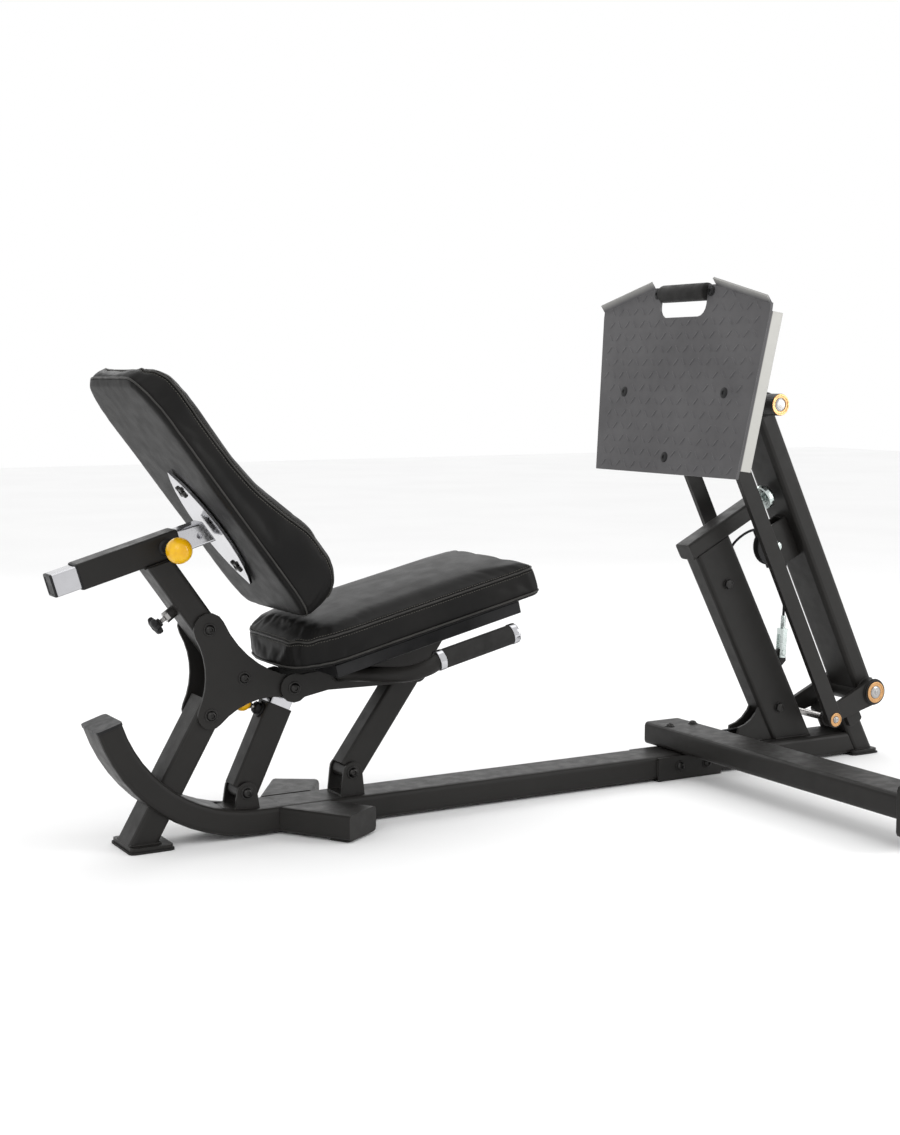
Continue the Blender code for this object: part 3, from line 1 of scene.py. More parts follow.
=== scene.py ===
"""Looks of the leg press bench: finishes, upholstery, fasteners, grips, cable, floor, lights and camera.

Frame: metres, +Z up, origin on the floor at the centre of the rear foot, the same as the CAD model.
"""
import json
import math

import bmesh
import bpy
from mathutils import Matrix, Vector, noise
from mathutils.bvhtree import BVHTree
from mathutils.kdtree import KDTree


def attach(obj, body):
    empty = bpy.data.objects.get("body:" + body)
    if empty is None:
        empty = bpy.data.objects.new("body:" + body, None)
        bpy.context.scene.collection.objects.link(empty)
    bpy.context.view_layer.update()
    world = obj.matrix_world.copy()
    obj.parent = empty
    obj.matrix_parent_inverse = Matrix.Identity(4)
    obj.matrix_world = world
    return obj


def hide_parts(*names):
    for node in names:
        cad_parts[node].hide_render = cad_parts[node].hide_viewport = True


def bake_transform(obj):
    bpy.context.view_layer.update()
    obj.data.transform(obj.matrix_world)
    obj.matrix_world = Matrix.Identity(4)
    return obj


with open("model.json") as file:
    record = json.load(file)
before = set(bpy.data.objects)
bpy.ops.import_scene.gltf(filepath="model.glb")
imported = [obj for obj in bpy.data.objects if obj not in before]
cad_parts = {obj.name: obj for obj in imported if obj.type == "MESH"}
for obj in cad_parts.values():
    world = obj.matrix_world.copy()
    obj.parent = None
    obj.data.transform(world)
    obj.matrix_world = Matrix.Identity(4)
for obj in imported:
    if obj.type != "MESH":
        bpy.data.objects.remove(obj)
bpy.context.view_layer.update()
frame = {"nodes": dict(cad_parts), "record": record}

# ---------------------------------------------------------------- places, as in the CAD model
SLEEVE_START = (-0.118, 0.5265)
SLEEVE_RISE = math.radians(16.2)
SLEEVE_LONG = 0.200
SLIDE_BEHIND = 0.050
SLIDE_LONG = 0.330
SLIDE_TO_PLATE = 0.004
BACK_TILT = math.radians(36.8)
BACK_PAD_LONG = 0.584
BACK_PAD_WIDE = 0.345
BACK_PAD_THICK = 0.076
BACK_PAD_BELOW = 0.228
BACK_PAD_CORNERS = (0.080, 0.105)
PAD_END = 0.050  # length of the pad that its domed ends take
SEAT_START = (0.268, 0.3255)
SEAT_RISE = math.radians(13.5)
SEAT_LONG = 0.555
SEAT_WIDE = 0.345
SEAT_THICK = 0.068
SEAT_CORNERS = (0.110, 0.035)
TOWER_FOOT_X = 1.613
TOWER_LEAN = math.radians(27.6)
PLATE_FOOT = (1.216, 0.680)
PLATE_TILT = math.radians(7.8)
PLATE_TALL = 0.353
PLATE_LOW_HALF = 0.258
PLATE_TOP_HALF = 0.300
PLATE_PEAK = 0.062
TUBE_HALF = 0.0254  # of the rear post, the back post and the sleeve
PIVOT_A = (0.126, 0.248)
RECLINE_TOP = (0.125, 0.4145)
BACK_LEAN = math.radians(35.3)
PIVOT_B = (0.298, 0.288)
PIVOT_C = (0.573, 0.295)
PIVOT_D = (0.433, 0.101)
PIVOT_E = (0.203, 0.086)
PIVOT_P = (1.789, 0.151)
PIVOT_Q = (1.649, 0.102)
ARM_LONG = 0.757
ARM_LEAN = math.radians(26)
ARM_PULLEY = (1.530, 0.505)
UPPER_PULLEY_AT = 0.484
LOWER_PULLEY_AT = 0.148
TOWER_PULLEY_BACK = 0.004
BEAM_X = 1.290
BEAM_NEAR_Y = -0.760
BEAM_CENTRE_Z = 0.0805
RAIL_TOP = 0.0548
RAIL_HALF = 0.0508
CABLE_R = 0.0030
TOWER_WRAP_R = 0.0378  # cable centre line round a tower pulley
ARM_WRAP_R = 0.0408
CLOTH_STEPS = 20


def tilted(origin, angle, along, over, y):
    """A point along a line that leaves `origin` at an angle to the floor, and over that line."""
    return Vector((origin[0] + math.cos(angle) * along - math.sin(angle) * over, y,
                   origin[1] + math.sin(angle) * along + math.cos(angle) * over))


def sleeve_point(along, over=0.0, y=0.0):
    """Along the backrest's adjuster sleeve, and above its centre line."""
    return tilted(SLEEVE_START, SLEEVE_RISE, along, over, y)


def back_point(along, out=0.0, y=0.0):
    """Up the backrest's rear face, and out towards the user."""
    centre = sleeve_point(SLIDE_LONG - SLIDE_BEHIND - SLIDE_TO_PLATE)
    return tilted((centre.x, centre.z), BACK_TILT, out, along, y)


def seat_point(along, over=0.0, y=0.0):
    """Along the seat pad's underside from its rear edge, and above it."""
    return tilted(SEAT_START, SEAT_RISE, along, over, y)


def tower_point(along, across=0.0, y=0.0):
    """Up the tower post, and across it towards the press arm."""
    return tilted((TOWER_FOOT_X, 0), TOWER_LEAN, across, along, y)


def plate_point(height, out=0.0, y=0.0):
    """Up the foot plate's face; a negative `out` is on the user's side of it."""
    return tilted(PLATE_FOOT, -PLATE_TILT, out, height, y)


def xz(point, y=0.0):
    return Vector((point[0], y, point[1]))


PIVOT_U = (PIVOT_P[0] - math.sin(ARM_LEAN) * ARM_LONG, PIVOT_P[1] + math.cos(ARM_LEAN) * ARM_LONG)
ACROSS = Vector((0, 1, 0))
NEAR = Vector((0, -1, 0))


# ---------------------------------------------------------------- materials
class Finish:
    """A node material under construction."""

    def __init__(self, name, colour, roughness, metallic=0.0, coat=0.0, coat_roughness=0.1, specular=0.5):
        self.made = bpy.data.materials.new(name + "_look")
        self.made.use_nodes = True
        self.nodes = self.made.node_tree.nodes
        self.links = self.made.node_tree.links
        self.shader = self.nodes["Principled BSDF"]
        self.fill(self.shader, {"Base Color": (*colour, 1), "Roughness": roughness, "Metallic": metallic,
                                "Coat Weight": coat, "Coat Roughness": coat_roughness,
                                "Specular IOR Level": specular})
        self.place = self.nodes.new("ShaderNodeTexCoord").outputs["Object"]
        self.colour = colour
        self.normal = None

    def fill(self, node, values):
        for socket, value in values.items():
            node.inputs[socket].default_value = value

    def add(self, kind, values, source=None, socket="Vector", operation=None):
        """A new node with its values set, and a source linked to one of its sockets."""
        node = self.nodes.new("ShaderNode" + kind)
        if operation:
            node.operation = operation
        self.fill(node, values)
        if source:
            self.links.new(source, node.inputs[socket])
        return node

    def noise(self, scale, detail=3.0, stretch=None):
        source = self.place
        if stretch:
            source = self.add("Mapping", {"Scale": stretch}, source).outputs["Vector"]
        return self.add("TexNoise", {"Scale": scale, "Detail": detail}, source).outputs["Fac"]

    def cells(self, scale):
        node = self.add("TexVoronoi", {"Scale": scale}, self.place)
        node.feature = "SMOOTH_F1"
        return node.outputs["Distance"]

    def distance(self, axis, origin):
        """Distance along an axis from a point, in the object's own coordinates."""
        along = self.add("VectorMath", {1: axis}, self.place, 0, "DOT_PRODUCT").outputs["Value"]
        return self.add("Math", {1: Vector(axis).dot(origin)}, along, 0, "SUBTRACT").outputs["Value"]

    def spread(self, value, low, high, start=0.35, end=0.65):
        """Maps a texture value from start..end to low..high."""
        return self.add("MapRange", {"From Min": start, "From Max": end, "To Min": low, "To Max": high},
                        value, "Value").outputs["Result"]

    def vary_roughness(self, value, low, high):
        self.links.new(self.spread(value, low, high), self.shader.inputs["Roughness"])

    def vary_colour(self, value, other, start=0.35, end=0.65):
        self.tint(self.spread(value, 0, 1, start, end), other)

    def tint(self, factor, other):
        """Mixes another colour over what there is so far."""
        mix = self.nodes.new("ShaderNodeMix")
        mix.data_type = "RGBA"
        socket = self.shader.inputs["Base Color"]
        if socket.is_linked:
            self.links.new(socket.links[0].from_socket, mix.inputs[6])
        self.fill(mix, {6: (*self.colour, 1), 7: (*other, 1)})
        self.links.new(factor, mix.inputs[0])
        self.links.new(mix.outputs[2], socket)

    def soften_edges(self, radius, wear_and_highlight=None):
        """Rounds hard edges where light meets them, and paints them a little paler: partly edge wear, partly
        a painted edge highlight.
        """
        bevel = self.add("Bevel", {"Radius": radius})
        bevel.samples = 4
        self.normal = bevel.outputs["Normal"]
        if wear_and_highlight:
            # painted edge highlight and edge wear: colour made paler where the bevelled normal turns away
            # from the true one
            dot = self.add("VectorMath", {}, self.normal, 0, "DOT_PRODUCT")
            self.links.new(self.nodes.new("ShaderNodeNewGeometry").outputs["Normal"], dot.inputs[1])
            self.tint(self.spread(dot.outputs["Value"], 1, 0, 0.80, 0.995), wear_and_highlight)

    def bump(self, value, strength, distance):
        node = self.add("Bump", {"Strength": strength, "Distance": distance}, value, "Height")
        if self.normal:
            self.links.new(self.normal, node.inputs["Normal"])
        self.normal = node.outputs["Normal"]

    def done(self):
        if self.normal:
            self.links.new(self.normal, self.shader.inputs["Normal"])
        return self.made


def powder_coat(name, colour, pale, roughness):
    look = Finish(name, colour, roughness, specular=0.22)
    look.vary_colour(look.noise(5), tuple(c * 1.22 for c in colour))
    # edges painted pale: edge wear and a painted edge highlight
    look.soften_edges(0.0016, pale)
    look.bump(look.noise(1400, 2), 0.16, 0.0006)
    look.bump(look.noise(160, 2), 0.05, 0.001)
    look.vary_roughness(look.noise(38, 4), roughness - 0.05, roughness + 0.07)
    return look.done()


def plated(name, colour, roughness, streak=None):
    look = Finish(name, colour, roughness, 1.0)
    look.soften_edges(0.0010)
    look.bump(look.noise(70, 3, streak), 0.035, 0.0008)
    look.vary_roughness(look.noise(210, 4, streak), roughness * 0.7, roughness * 1.5)
    look.vary_colour(look.noise(14), tuple(c * 0.88 for c in colour))
    return look.done()


def rubbery(name, colour, roughness, grain, depth):
    look = Finish(name, colour, roughness, specular=0.20)
    look.vary_colour(look.noise(26), tuple(c * 1.35 for c in colour))
    # edges painted pale: edge wear and a painted edge highlight
    look.soften_edges(0.0009, tuple(c * 1.8 for c in colour))
    look.bump(look.noise(grain, 3), 0.30, depth)
    look.vary_roughness(look.noise(60, 3), roughness - 0.06, roughness + 0.08)
    return look.done()


def vinyl():
    """Fine pebble grain with faint creases, a little glossier where it is stretched."""
    look = Finish("black_vinyl", (0.0085, 0.0083, 0.0082), 0.42, specular=0.09)
    look.vary_colour(look.noise(7, 4), (0.0125, 0.0120, 0.0115))
    look.bump(look.cells(560), 0.20, 0.0006)
    look.bump(look.noise(240, 5), 0.12, 0.0006)
    look.bump(look.noise(18, 2), 0.05, 0.002)
    look.vary_roughness(look.noise(30, 3), 0.39, 0.46)
    return look.done()


def tread_paint():
    """Grey metallic paint, with a painted highlight: paler colour on the folded flanges and lips."""
    look = Finish("tread_plate", (0.072, 0.070, 0.073), 0.46, 0.20, specular=0.30)
    look.vary_colour(look.noise(9, 5), (0.088, 0.086, 0.089))
    out = plate_point(0, 1) - plate_point(0)
    behind = look.distance(out, plate_point(0))
    # painted highlight: the folded flanges and lips painted pale, by their distance from the plate's face
    look.tint(look.spread(behind, 0, 1, 0.0066, 0.0090), (0.46, 0.455, 0.43))
    look.tint(look.spread(behind, 1, 0, -0.0120, -0.0025), (0.30, 0.297, 0.285))
    # edges painted pale: edge wear and a painted edge highlight
    look.soften_edges(0.0010, (0.20, 0.20, 0.205))
    look.bump(look.noise(900, 2), 0.14, 0.0006)
    look.bump(look.noise(30, 3), 0.05, 0.002)
    look.vary_roughness(look.noise(55, 4), 0.38, 0.52)
    return look.done()


def gloss_ball():
    look = Finish("yellow_ball", (0.70, 0.36, 0.004), 0.18, coat=0.3, coat_roughness=0.05, specular=0.3)
    look.vary_colour(look.noise(40, 2), (0.84, 0.49, 0.008))
    look.bump(look.noise(55, 2), 0.03, 0.001)
    look.vary_roughness(look.noise(120, 2), 0.13, 0.20)
    return look.done()


LOOKS = {
    "frame_black": powder_coat("frame_black", (0.0125, 0.0117, 0.0108), (0.034, 0.032, 0.030), 0.42),
    "chrome": plated("chrome", (0.56, 0.56, 0.58), 0.12),
    "steel": plated("steel", (0.42, 0.41, 0.40), 0.28),
    "zinc": plated("zinc", (0.58, 0.64, 0.62), 0.26),
    "tread_plate": tread_paint(),
    "black_rubber": rubbery("black_rubber", (0.014, 0.0135, 0.013), 0.62, 900, 0.0008),
    "black_plastic": rubbery("black_plastic", (0.010, 0.010, 0.0105), 0.42, 500, 0.0003),
    "yellow_ball": gloss_ball(),
    "black_vinyl": vinyl(),
}
BRONZE = plated("bronze", (0.58, 0.33, 0.15), 0.26)
DARK_STEEL = plated("dark_steel", (0.040, 0.039, 0.038), 0.34)
WIRE = plated("wire", (0.028, 0.028, 0.030), 0.40)
# piping vinyl painted paler than the pads: a painted highlight along the piping
PIPING_HIGHLIGHT = rubbery("piping_painted_highlight", (0.030, 0.029, 0.027), 0.40, 700, 0.0003)
THREAD = rubbery("thread", (0.085, 0.080, 0.068), 0.60, 1500, 0.0003)

for part in frame["record"]["subparts"]:
    node = frame["nodes"][part["node"]]
    node.data.materials.clear()
    node.data.materials.append(LOOKS[part["material_slot"]])


# ---------------------------------------------------------------- mesh helpers
def piece(bm, name, body, slot, look=None, smooth=35):
    """Turns a bmesh into a named piece that rides on a body."""
    bmesh.ops.remove_doubles(bm, verts=bm.verts, dist=1e-6)
    bmesh.ops.recalc_face_normals(bm, faces=bm.faces)
    mesh = bpy.data.meshes.new(name)
    bm.to_mesh(mesh)
    bm.free()
    mesh.shade_smooth()
    mesh.set_sharp_from_angle(angle=math.radians(smooth))
    mesh.materials.append(look or LOOKS[slot])
    obj = bpy.data.objects.new(name, mesh)
    bpy.context.scene.collection.objects.link(obj)
    if body:
        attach(obj, body)
    return obj


def add_loops(bm, loops, cap_first=True, cap_last=True, closed=False):
    """Skins between equal rings of points."""
    rings = [[bm.verts.new(p) for p in points] for points in loops]
    if closed:
        rings.append(rings[0])
    for one, two in zip(rings, rings[1:]):
        count = len(one)
        for i in range(count):
            j = (i + 1) % count
            bm.faces.new((one[i], one[j], two[j], two[i]))
    if cap_first and not closed:
        bm.faces.new(rings[0])
    if cap_last and not closed:
        bm.faces.new(rings[-1])


def frame_of(axis):
    axis = Vector(axis).normalized()
    side = axis.orthogonal().normalized()
    return axis, side, axis.cross(side)


def hexagon(angle):
    """Radius of a hexagon with flats one unit from its centre, at an angle."""
    wedge = math.radians(60)
    return 1 / math.cos((angle + wedge / 2) % wedge - wedge / 2)


def cross_form(angle):
    """Radius of a blunt four-armed cross, at an angle."""
    return 0.74 + 0.26 * math.cos(4 * angle)


def seven_lobes(angle):
    """Radius of a hand knob with seven lobes, at an angle."""
    return 0.90 + 0.10 * math.cos(7 * angle)


def add_turned(bm, base, axis, profile, segments=32):
    """Revolves (radius, along[, form]) rings about an axis; `form` scales the radius by angle."""
    base = Vector(base)
    axis, side, over = frame_of(axis)
    loops = []
    for item in profile:
        form = item[2] if len(item) > 2 else None
        points = []
        for i in range(segments):
            angle = 2 * math.pi * i / segments
            radius = item[0] * (form(angle) if form else 1)
            points.append(base + axis * item[1] + side * (radius * math.cos(angle))
                          + over * (radius * math.sin(angle)))
        loops.append(points)
    add_loops(bm, loops, closed=profile[0] == profile[-1])


def socket_head(radius, height, recess=hexagon):
    """Profile of a domed button head on a washer, with a recess in its top."""
    washer = radius * 1.32
    thick = radius * 0.16
    top = thick + height
    hole = radius * 0.40
    return [(washer, 0), (washer, thick * 0.7), (washer - thick * 0.4, thick), (radius, thick),
            (radius * 0.98, thick + height * 0.30), (radius * 0.86, thick + height * 0.66),
            (radius * 0.64, top - height * 0.06), (radius * 0.52, top),
            (hole, top, recess), (hole * 0.97, top - height * 0.62, recess),
            (hole * 0.5, top - height * 0.70)]


def nut_end(radius, height):
    """Profile of a locking nut on a washer, with the bolt's end showing."""
    washer = radius * 1.38
    thick = radius * 0.16
    flat = radius * 0.90
    top = thick + height
    return [(washer, 0), (washer, thick * 0.7), (washer - thick * 0.4, thick), (flat, thick, hexagon),
            (flat, top - height * 0.15, hexagon), (flat * 0.93, top), (radius * 0.66, top + height * 0.10),
            (radius * 0.56, top + height * 0.04), (radius * 0.50, top + height * 0.04),
            (radius * 0.46, top + height * 0.28), (radius * 0.38, top + height * 0.34)]


def turned_piece(name, body, spots, look=None, slot="steel", segments=36):
    """One piece made of turned forms: each spot is (point, axis, profile)."""
    bm = bmesh.new()
    for point, axis, profile in spots:
        add_turned(bm, point, axis, profile, segments)
    return piece(bm, name, body, slot, look)


def smooth_route(route, steps):
    """Catmull-Rom points through the route."""
    route = [Vector(p) for p in route]
    padded = [2 * route[0] - route[1]] + route + [2 * route[-1] - route[-2]]
    points = []
    for i in range(1, len(padded) - 2):
        a, b, c, d = padded[i - 1:i + 3]
        for k in range(steps):
            t = k / steps
            points.append(0.5 * (2 * b + (c - a) * t + (2 * a - 5 * b + 4 * c - d) * t ** 2
                                 + (3 * b - a - 3 * c + d) * t ** 3))
    points.append(route[-1])
    return points


def sweep_frames(points, closed=False):
    """A side and an over vector at each point that turn as little as they can."""
    count = len(points)
    frames = []
    side = None
    for i in range(count):
        before = points[i - 1] if i or closed else points[0]
        after = points[(i + 1) % count] if i < count - 1 or closed else points[-1]
        tangent = (after - before).normalized()
        if side is None:
            side = tangent.orthogonal().normalized()
        side = (side - tangent * side.dot(tangent)).normalized()
        frames.append((side, tangent.cross(side)))
    return frames


def add_swept(bm, points, radius, segments=10, closed=False, radii=None):
    """A round section carried along points; `radii` gives a radius for each."""
    loops = []
    for i, (side, over) in enumerate(sweep_frames(points, closed)):
        r = radii[i] if radii else radius
        ring = []
        for k in range(segments):
            angle = 2 * math.pi * k / segments
            ring.append(points[i] + side * (r * math.cos(angle)) + over * (r * math.sin(angle)))
        loops.append(ring)
    add_loops(bm, loops, closed=closed)


def resample(points, step, closed=False):
    """Evenly spaced points along a line."""
    line = list(points) + ([points[0]] if closed else [])
    total = sum((b - a).length for a, b in zip(line, line[1:]))
    count = max(int(total / step), 2)
    gap = total / count
    result = [line[0]]
    travelled = 0.0
    for a, b in zip(line, line[1:]):
        span = (b - a).length
        while len(result) < count + (0 if closed else 1) and travelled + span >= gap * len(result) - 1e-9:
            t = (gap * len(result) - travelled) / span if span else 0
            result.append(a.lerp(b, min(max(t, 0), 1)))
        travelled += span
    return result


def weld_beads(name, body, runs, radius=0.0028, ripple=0.0042):
    """Rippled weld beads along lines; each run is (points, closed)."""
    bm = bmesh.new()
    for points, closed in runs:
        line = resample([Vector(p) for p in points], ripple / 3, closed)
        radii = []
        for i, point in enumerate(line):
            wave = 0.80 + 0.20 * abs(math.sin(math.pi * i / 3 + 0.5))
            radii.append(radius * wave * (0.90 + 0.20 * noise.noise(point * 90)))
        add_swept(bm, line, radius, 8, closed, radii)
    return piece(bm, name, body, "frame_black", smooth=60)


def circle_xz(centre, radius, y, steps=40):
    """Points of an upright circle about an axis across the machine."""
    return [xz((centre[0] + radius * math.cos(2 * math.pi * i / steps),
                centre[1] + radius * math.sin(2 * math.pi * i / steps)), y) for i in range(steps)]


# ---------------------------------------------------------------- upholstery
def evaluated_mesh(obj):
    graph = bpy.context.evaluated_depsgraph_get()
    return bpy.data.meshes.new_from_object(obj.evaluated_get(graph))


def upholstered(name, node, body, held, crease, pressure, cap, voxel=0.0055):
    """A stuffed cover: the CAD solid remeshed, blown up as cloth, and its swelling limited.

    `held` says how freely a point may move, from 0 on the board to 1.
    """
    source = frame["nodes"][node]
    obj = bpy.data.objects.new(name, source.data.copy())
    bpy.context.scene.collection.objects.link(obj)
    bpy.context.view_layer.objects.active = obj
    merge = obj.modifiers.new("merge", "WELD")
    merge.merge_threshold = 0.00001
    remesh = obj.modifiers.new("remesh", "REMESH")
    remesh.mode = "VOXEL"
    remesh.voxel_size = voxel
    relax = obj.modifiers.new("relax", "SMOOTH")
    relax.factor = 0.5
    relax.iterations = 3
    obj.data = evaluated_mesh(obj)
    obj.modifiers.clear()
    mesh = obj.data
    free = [held(v.co) for v in mesh.vertices]
    start = [v.co - v.normal * (0.0020 + 0.0015 * f) for v, f in zip(mesh.vertices, free)]
    for vertex, place in zip(mesh.vertices, start):
        vertex.co = place
    group = obj.vertex_groups.new(name="held")
    for i, f in enumerate(free):
        if f < 0.05:
            group.add([i], 1.0, "REPLACE")
    cloth = obj.modifiers.new("cloth", "CLOTH")
    settings = cloth.settings
    settings.quality = 4
    settings.mass = 0.3
    settings.tension_stiffness = 22
    settings.compression_stiffness = 22
    settings.bending_stiffness = 0.6
    settings.use_pressure = True
    settings.uniform_pressure_force = pressure
    settings.effector_weights.gravity = 0
    settings.vertex_group_mass = "held"
    cloth.point_cache.frame_start = 1
    cloth.point_cache.frame_end = CLOTH_STEPS
    for step in range(1, CLOTH_STEPS + 1):
        bpy.context.scene.frame_set(step)
    swollen = evaluated_mesh(obj)
    obj.modifiers.clear()
    obj.vertex_groups.clear()
    for i, vertex in enumerate(mesh.vertices):
        move = swollen.vertices[i].co - start[i]
        limit = cap * free[i]
        if move.length > limit:
            move = move.normalized() * limit
        vertex.co = start[i] + move
    bpy.data.meshes.remove(swollen)
    bpy.context.scene.frame_set(1)
    soften = obj.modifiers.new("soften", "SMOOTH")
    soften.factor = 0.5
    soften.iterations = 2
    finer = obj.modifiers.new("finer", "SUBSURF")
    finer.levels = 1
    finer.render_levels = 1
    obj.data = evaluated_mesh(obj)
    obj.modifiers.clear()
    mesh = obj.data
    mesh.materials.clear()
    mesh.materials.append(LOOKS["black_vinyl"])
    lines = [snap(points, mesh) for points in crease]
    press_seams(mesh, lines)
    mesh.shade_smooth()
    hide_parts(node)
    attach(obj, body)
    return obj, lines


def surface_tree(mesh):
    return BVHTree.FromPolygons([v.co for v in mesh.vertices], [p.vertices for p in mesh.polygons])


def snap(points, mesh):
    """Moves a closed line's points onto a surface."""
    tree = surface_tree(mesh)
    result = [tree.find_nearest(point)[0] for point in resample(points, 0.004, True)]
    for _ in range(2):
        result = [(result[i - 1] + 2 * result[i] + result[(i + 1) % len(result)]) / 4
                  for i in range(len(result))]
    return result


def press_seams(mesh, lines):
    """Draws the cover in at its seams, and gives the rest the slight unevenness of vinyl over foam."""
    count = sum(len(line) for line in lines)
    tree = KDTree(count)
    for i, point in enumerate(p for line in lines for p in line):
        tree.insert(point, i)
    tree.balance()
    moved = []
    for vertex in mesh.vertices:
        _, _, away = tree.find(vertex.co)
        valley = max(0.0, 1 - away / 0.0090) ** 2
        pucker = max(0.0, 1 - away / 0.030) * 0.0006 * noise.noise(vertex.co * 60)
        ease = 0.0004 * noise.noise(vertex.co * 12 + Vector((3, 1, 2)))
        moved.append(vertex.co + vertex.normal * (pucker + ease - 0.0024 * valley))
    for vertex, place in zip(mesh.vertices, moved):
        vertex.co = place


def piping(name, body, lines, radius=0.0019):
    # the piping's paler colour is a painted highlight
    bm = bmesh.new()
    for line in lines:
        add_swept(bm, line, radius, 8, True)
    return piece(bm, name, body, "black_vinyl", PIPING_HIGHLIGHT, 60)


def stitches(name, body, pad, line, shift_by, pitch=0.0056, long=0.0036, thick=0.00048):
    """A row of stitches beside a seam; `shift_by` moves the row off the seam, in metres."""
    tree = surface_tree(pad.data)
    row = []
    for point in line:
        place, normal, _, _ = tree.find_nearest(point + shift_by)
        row.append(place + normal * (thick * 0.7))
    row = resample(row, pitch, True)
    bm = bmesh.new()
    for i, point in enumerate(row):
        way = (row[(i + 1) % len(row)] - row[i - 1]).normalized()
        ends = [point + way * (long * t) for t in (-0.5, -0.3, 0.0, 0.3, 0.5)]
        add_swept(bm, ends, thick, 5, radii=[thick * 0.35, thick * 0.9, thick, thick * 0.9, thick * 0.35])
    return piece(bm, name, body, "black_vinyl", THREAD, 60)


def rounding(place, radius, drop=None):
    """How far a quarter round has fallen away at a distance from an end."""
    if place >= radius:
        return 0.0
    return (drop or radius) * (1 - math.sqrt(max(1 - (1 - place / radius) ** 2, 0)))


def pad_loop(at, length, width, first_r, last_r, share, inset, steps=44):
    """A closed line round a pad's outline; `at(place, side)` gives the point for a half width."""
    near = []
    for i in range(steps + 1):
        t = 0.5 - 0.5 * math.cos(math.pi * i / steps)
        place = inset + (length - 2 * inset) * t
        trim = rounding(place, first_r) + rounding(length - place, last_r)
        half = width / 2 - trim * share - inset * 0.4
        near.append((place, max(half, 0.01)))
    return [at(p, -h) for p, h in near] + [at(p, h) for p, h in reversed(near)]


def lumbar_front(place):
    """Height of the backrest's front face, with its swell and its rounded ends."""
    along = place - BACK_PAD_BELOW
    front = BACK_PAD_THICK + 0.045 * math.exp(-((along + 0.112) / 0.125) ** 2)
    return front - rounding(place, PAD_END, 0.040) - rounding(BACK_PAD_LONG - place, PAD_END, 0.040)


def build_seat():
    size = (SEAT_LONG, SEAT_WIDE, *SEAT_CORNERS, 0.85)
    loop_top = pad_loop(lambda p, s: seat_point(p, SEAT_THICK - 0.004, s), *size, 0.002)
    loop_low = pad_loop(lambda p, s: seat_point(p, 0.010, s), *size, 0.003)
    rise = seat_point(0, 1) - seat_point(0, 0)
    base = seat_point(0)

    def held(co):
        return min(max(((co - base).dot(rise) - 0.002) / 0.018, 0), 1)

    pad, lines = upholstered("seat_cushion", "seat_pad", "seat", held, [loop_top, loop_low],
                             4.0, 0.007)
    piping("seat_piping", "seat", lines)
    stitches("seat_stitch_low", "seat", pad, lines[0], -rise * 0.0065)
    stitches("seat_stitch_high", "seat", pad, lines[0], rise * 0.0070)


def build_back():
    def front(p, s):
        return back_point(p - BACK_PAD_BELOW, lumbar_front(p) - 0.010, s)

    def rear(p, s):
        return back_point(p - BACK_PAD_BELOW, 0.014, s)

    size = (BACK_PAD_LONG, BACK_PAD_WIDE, *BACK_PAD_CORNERS, 0.8)
    loop_front = pad_loop(front, *size, 0.010)
    loop_rear = pad_loop(rear, *size, 0.006)
    out = back_point(0, 1) - back_point(0, 0)
    base = back_point(0)

    def held(co):
        return min(max(((co - base).dot(out) - 0.008) / 0.020, 0), 1)

    pad, lines = upholstered("back_cushion", "back_pad", "back_rest", held, [loop_front, loop_rear],
                             4.0, 0.007)
    piping("back_piping", "back_rest", lines)
    stitches("back_stitch_front", "back_rest", pad, lines[0], out * 0.0070)
    stitches("back_stitch_side", "back_rest", pad, lines[0], -out * 0.0065)


# ---------------------------------------------------------------- seat side hardware
def build_handles():
    """Bent tube, foam grip, chrome collar and cap on each side of the seat."""
    start_y = 0.0518
    rise = Vector((math.cos(SEAT_RISE), 0, math.sin(SEAT_RISE)))
    grip_start = seat_point(0.258, -0.040)
    first = seat_point(0.120, -0.046)
    foam = [(0.0172, 0.010), (0.0188, 0.0104), (0.0194, 0.0120), (0.0195, 0.020), (0.0195, 0.163),
            (0.0194, 0.1655), (0.0188, 0.167), (0.0172, 0.1675)]
    ring = [(0.0157, -0.004), (0.0198, -0.004), (0.0205, -0.0033), (0.0205, 0.0090), (0.0198, 0.0098),
            (0.0160, 0.0100)]
    cap = [(0.0150, 0.1662), (0.0200, 0.1664), (0.0207, 0.1672), (0.0207, 0.1780), (0.0203, 0.1795),
           (0.0190, 0.1808), (0.0120, 0.1822), (0.0040, 0.1826)]
    for name, way in (("near", -1), ("far", 1)):
        def at(place, y):
            return Vector((place.x, way * y, place.z))

        route = [at(first, start_y), at(seat_point(0.145, -0.050), start_y + 0.030),
                 at(seat_point(0.200, -0.056), 0.170), at(seat_point(0.235, -0.048), 0.209),
                 at(grip_start, 0.215)]
        bm = bmesh.new()
        points = smooth_route(route, 10) + [route[-1] + rise * 0.012]
        points[0] = points[0] - Vector((0, way * 0.0002, 0))
        add_swept(bm, points, 0.0155, 28)
        tube = piece(bm, "seat_handle_" + name, "seat", "frame_black", smooth=50)
        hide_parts("handle_" + name)
        turned_piece("seat_grip_" + name, "seat", [(route[-1], rise, foam)], slot="black_rubber",
                     segments=40)
        turned_piece("seat_grip_rings_" + name, "seat",
                     [(route[-1], rise, ring), (route[-1], rise, cap)], slot="chrome", segments=40)
    weld_beads("handle_welds", "seat", [
        (circle_xz((first.x, first.z), 0.0160, way * 0.0525, 30), True) for way in (-1, 1)], 0.0022)


